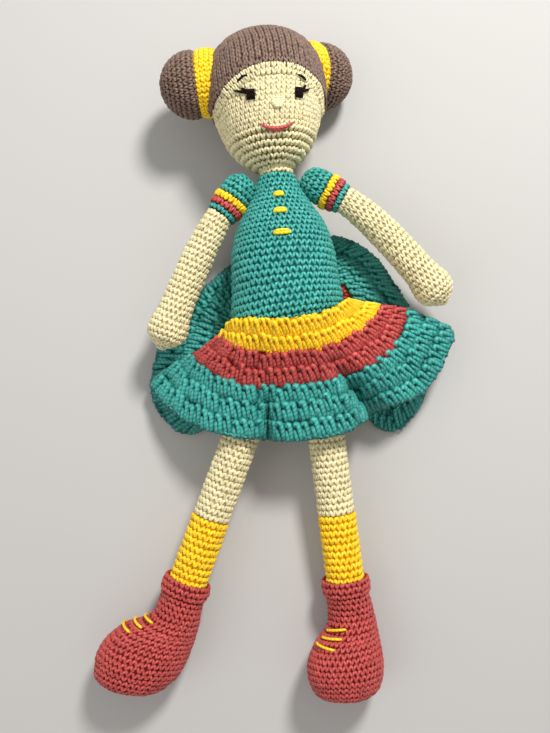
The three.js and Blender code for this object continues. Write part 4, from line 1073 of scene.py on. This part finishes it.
BACK = [
    [(52, 0, 41), (52, 3, 34), (48.5, 4.5, 23.5), (44, 4.5, 15.5), (33.5, 3, 9), (17, 3, 3.5),
     (0, 3, 1.3), (-17, 3, 3.5), (-33.5, 3, 9), (-44, 3, 15.5), (-48.5, 0, 25), (-52, -3, 34),
     (-52, -6, 41)],
    [(53, -20, 21), (60, -20, 15), (60, -3, 12), (53, 12, 9), (45, 18, 7), (33, 20, 2), (15, 21, 0),
     (-8, 21, 0), (-27, 19, 2), (-42, 13, 7.5), (-50, 0, 11), (-56, -16, 15.5), (-53, -22, 21)],
    [(60, -50, 6), (74, -58, 5), (84, -30, 6), (73, 3, 9), (55, 25, 17), (45, 38, 17), (24, 44, 3),
     (-3, 45, 0), (-30, 37, 4), (-46, 19, 10), (-55, -6, 10), (-68, -37, 7), (-60, -50, 6)],
    [(64, -96, 4.5), (90, -103, 3.5), (117, -74, 3.5), (119, -20, 6), (100, 26, 11), (80, 57, 13),
     (50, 74, 14), (8, 72, 3), (-36, 63, 8), (-72, 36, 15), (-112, -4, 9), (-126, -60, 5),
     (-93, -104, 4)],
]
# Creases pressed into the front: two ends (x, y), depth, and widths to its left and right.
CREASES = (((-15, -37), (-17.8, -76), 10.0, 1.9, 3.6), ((21, -28), (38.5, -53), 15.0, 2.6, 7.0))
# How far the cloth's corners are rounded: share of its width, and share of its length drawn up.
ROUNDED = {"front": (0.02, 0.06), "back": (0.035, 0.1)}
# Two places on the skirt's front: up to the first it would stay with the torso, and from the second it
# would swing as one.
# The script only turns them into metres; the front is attached to no body.
BEND_TOP, BEND_LOW = np.array([0, -4, 50]), np.array([0, -20, 48])


def creased(grid):
    """The cloth with its creases pressed in, each with low banks, fading out at its upper end."""
    for first, last, deep, left, right in CREASES:
        first, last = np.array(first, float), np.array(last, float)
        run = last - first
        offset = grid[..., :2] - first
        reach = (offset @ run) / (run @ run)
        away = (offset[..., 1] * run[0] - offset[..., 0] * run[1]) / np.linalg.norm(run)
        share = np.abs(away) / np.where(away < 0, left, right)
        fold = np.exp(-(share**2)) - 0.2 * np.exp(-((share - 2.2) ** 2))
        grid[..., 2] -= deep * fold * np.clip((reach + 0.15) / 0.7, 0, 1)
    return grid


def ruffle(edges, lift, corner, drawn):
    """The cloth's middle as a grid: rows from waist to hem, columns from one side to the other."""
    across = np.linspace(0, 1, SKIRT_COLUMNS)
    lines = [catmull_rom(np.array(edge) / 100 * SKIRT, across) for edge in edges]
    shares = np.linspace(0, 1, ROW_SAMPLES)
    place = np.interp(shares, [0, 2 / 7, 4 / 7, 1], [0, 1 / 3, 2 / 3, 1])
    round_off = np.clip(1 - np.minimum(across, 1 - across) / corner, 0, 1) ** 2 * drawn
    columns = []
    for column, off in enumerate(round_off):
        columns.append(catmull_rom([line[column] for line in lines], place * (1 - off * place)))
    grid = np.stack(columns, 1)
    grid[..., 2] = np.maximum(grid[..., 2] + lift, SKIRT_HALF)
    return grid


for label, edges, lift, up in (("front", FRONT, 0, 1), ("back", BACK, SKIRT_HALF - 0.3, -1)):
    grid = ruffle(edges, lift, *ROUNDED[label])
    if label == "front":
        grid = creased(grid)
    whole = Patch(grid, facing=(0, 0, up))
    inner = Patch(grid[:, ::-1], facing=-whole.normals[:, ::-1])
    row_edges = np.interp(np.arange(8) / 7, np.linspace(0, 1, ROW_SAMPLES), whole.v)
    for name, kind, first, last in SKIRT_BANDS:
        node_name = f"skirt_{label}_{name}"
        rows = row_edges[first : last + 1]
        yarn = []
        for width, *row in zip(POST_WIDTHS[first:last], rows[:-1], rows[1:]):
            for face in (whole, inner):
                work_rows(yarn, face, POST, row, width, 0.1, relief=1.2, jitter=0.09)
        if name == "teal":
            work_rows(yarn, whole, EDGE, [rows[-1] - 1.6, rows[-1]], 3.2, -0.2)
        strands = yarn_mesh(f"{node_name}_yarn", yarn)
        span = {"start": rows[0], "end": rows[-1], "columns": 320, "rows": 24}
        sheet = patch_mesh(f"{node_name}_cloth", whole, 0, **span)
        for thing, materials in ((strands, YARNS), (sheet, CLOTHS)):
            thing.data.materials.append(materials[kind])
            if label == "front":
                top, low = WAIST + BEND_TOP / 1000, WAIST + BEND_LOW / 1000
                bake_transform(thing)
            else:
                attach(thing, "torso")
            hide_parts(node_name)

# Floor, lights and camera: their own sizes and places are in metres

FLOOR_COLOURS = ((186, 185, 183), (191, 190, 188))
FLOOR_HALF = 3.0


def floor_material():
    material, tree, surface, place = new_material("floor", 0.9, 0.1)
    low, high = ((*linear(colour), 1) for colour in FLOOR_COLOURS)
    tree.links.new(between(tree, noise(tree, place, 3, 2), low, high), surface.inputs["Base Color"])
    return material


floor_mesh = bpy.data.meshes.new("floor")
floor_corners = [(x * FLOOR_HALF, y * FLOOR_HALF, 0) for x, y in ((-1, -1), (1, -1), (1, 1), (-1, 1))]
floor_mesh.from_pydata(floor_corners, [], [(0, 1, 2, 3)])
floor_mesh.materials.append(floor_material())
floor = add_object("floor", floor_mesh)
floor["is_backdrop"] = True


def area_light(name, place, size, power, colour):
    """A round light that faces the frame's origin."""
    data = bpy.data.lights.new(name, "AREA")
    data.shape = "DISK"
    data.size = size
    data.energy = power
    data.color = colour
    thing = add_object(name, data)
    thing.location = place
    thing.rotation_mode = "QUATERNION"
    thing.rotation_quaternion = (-Vector(place)).to_track_quat("-Z", "Y")


area_light("key", (0.34, 0.62, 0.78), 0.22, 11.7, (1.0, 0.98, 0.95))
area_light("fill", (-0.9, -0.3, 1.0), 1.2, 3.5, (0.98, 0.99, 1.0))

world = bpy.data.worlds.new("studio")
world.use_nodes = True
background = world.node_tree.nodes["Background"]
background.inputs["Color"].default_value = (1.0, 0.98, 0.95, 1)
background.inputs["Strength"].default_value = 0.5
bpy.context.scene.world = world
bpy.context.scene.view_settings.view_transform = "Standard"

# The photograph's height and the camera's focal length in its pixels, and the camera's place in mm.
PHOTO_HEIGHT, FOCAL = 733, 795
SENSOR = 36
EYE = np.array([-9.13, -56.07, 462.5])
TILT, ROLL = math.radians(4), math.radians(4.5)
camera_data = bpy.data.cameras.new("camera")
camera_data.lens = FOCAL * SENSOR / PHOTO_HEIGHT
camera_data.sensor_width = SENSOR
camera_data.clip_start = 0.01
camera = add_object("camera", camera_data)
matrix = np.eye(4)
matrix[:3, :3] = turn("X", TILT) @ turn("Z", -ROLL)
matrix[:3, 3] = WAIST + EYE / 1000
camera.matrix_world = Matrix(matrix.tolist())
bpy.context.scene.camera = camera

low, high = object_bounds()
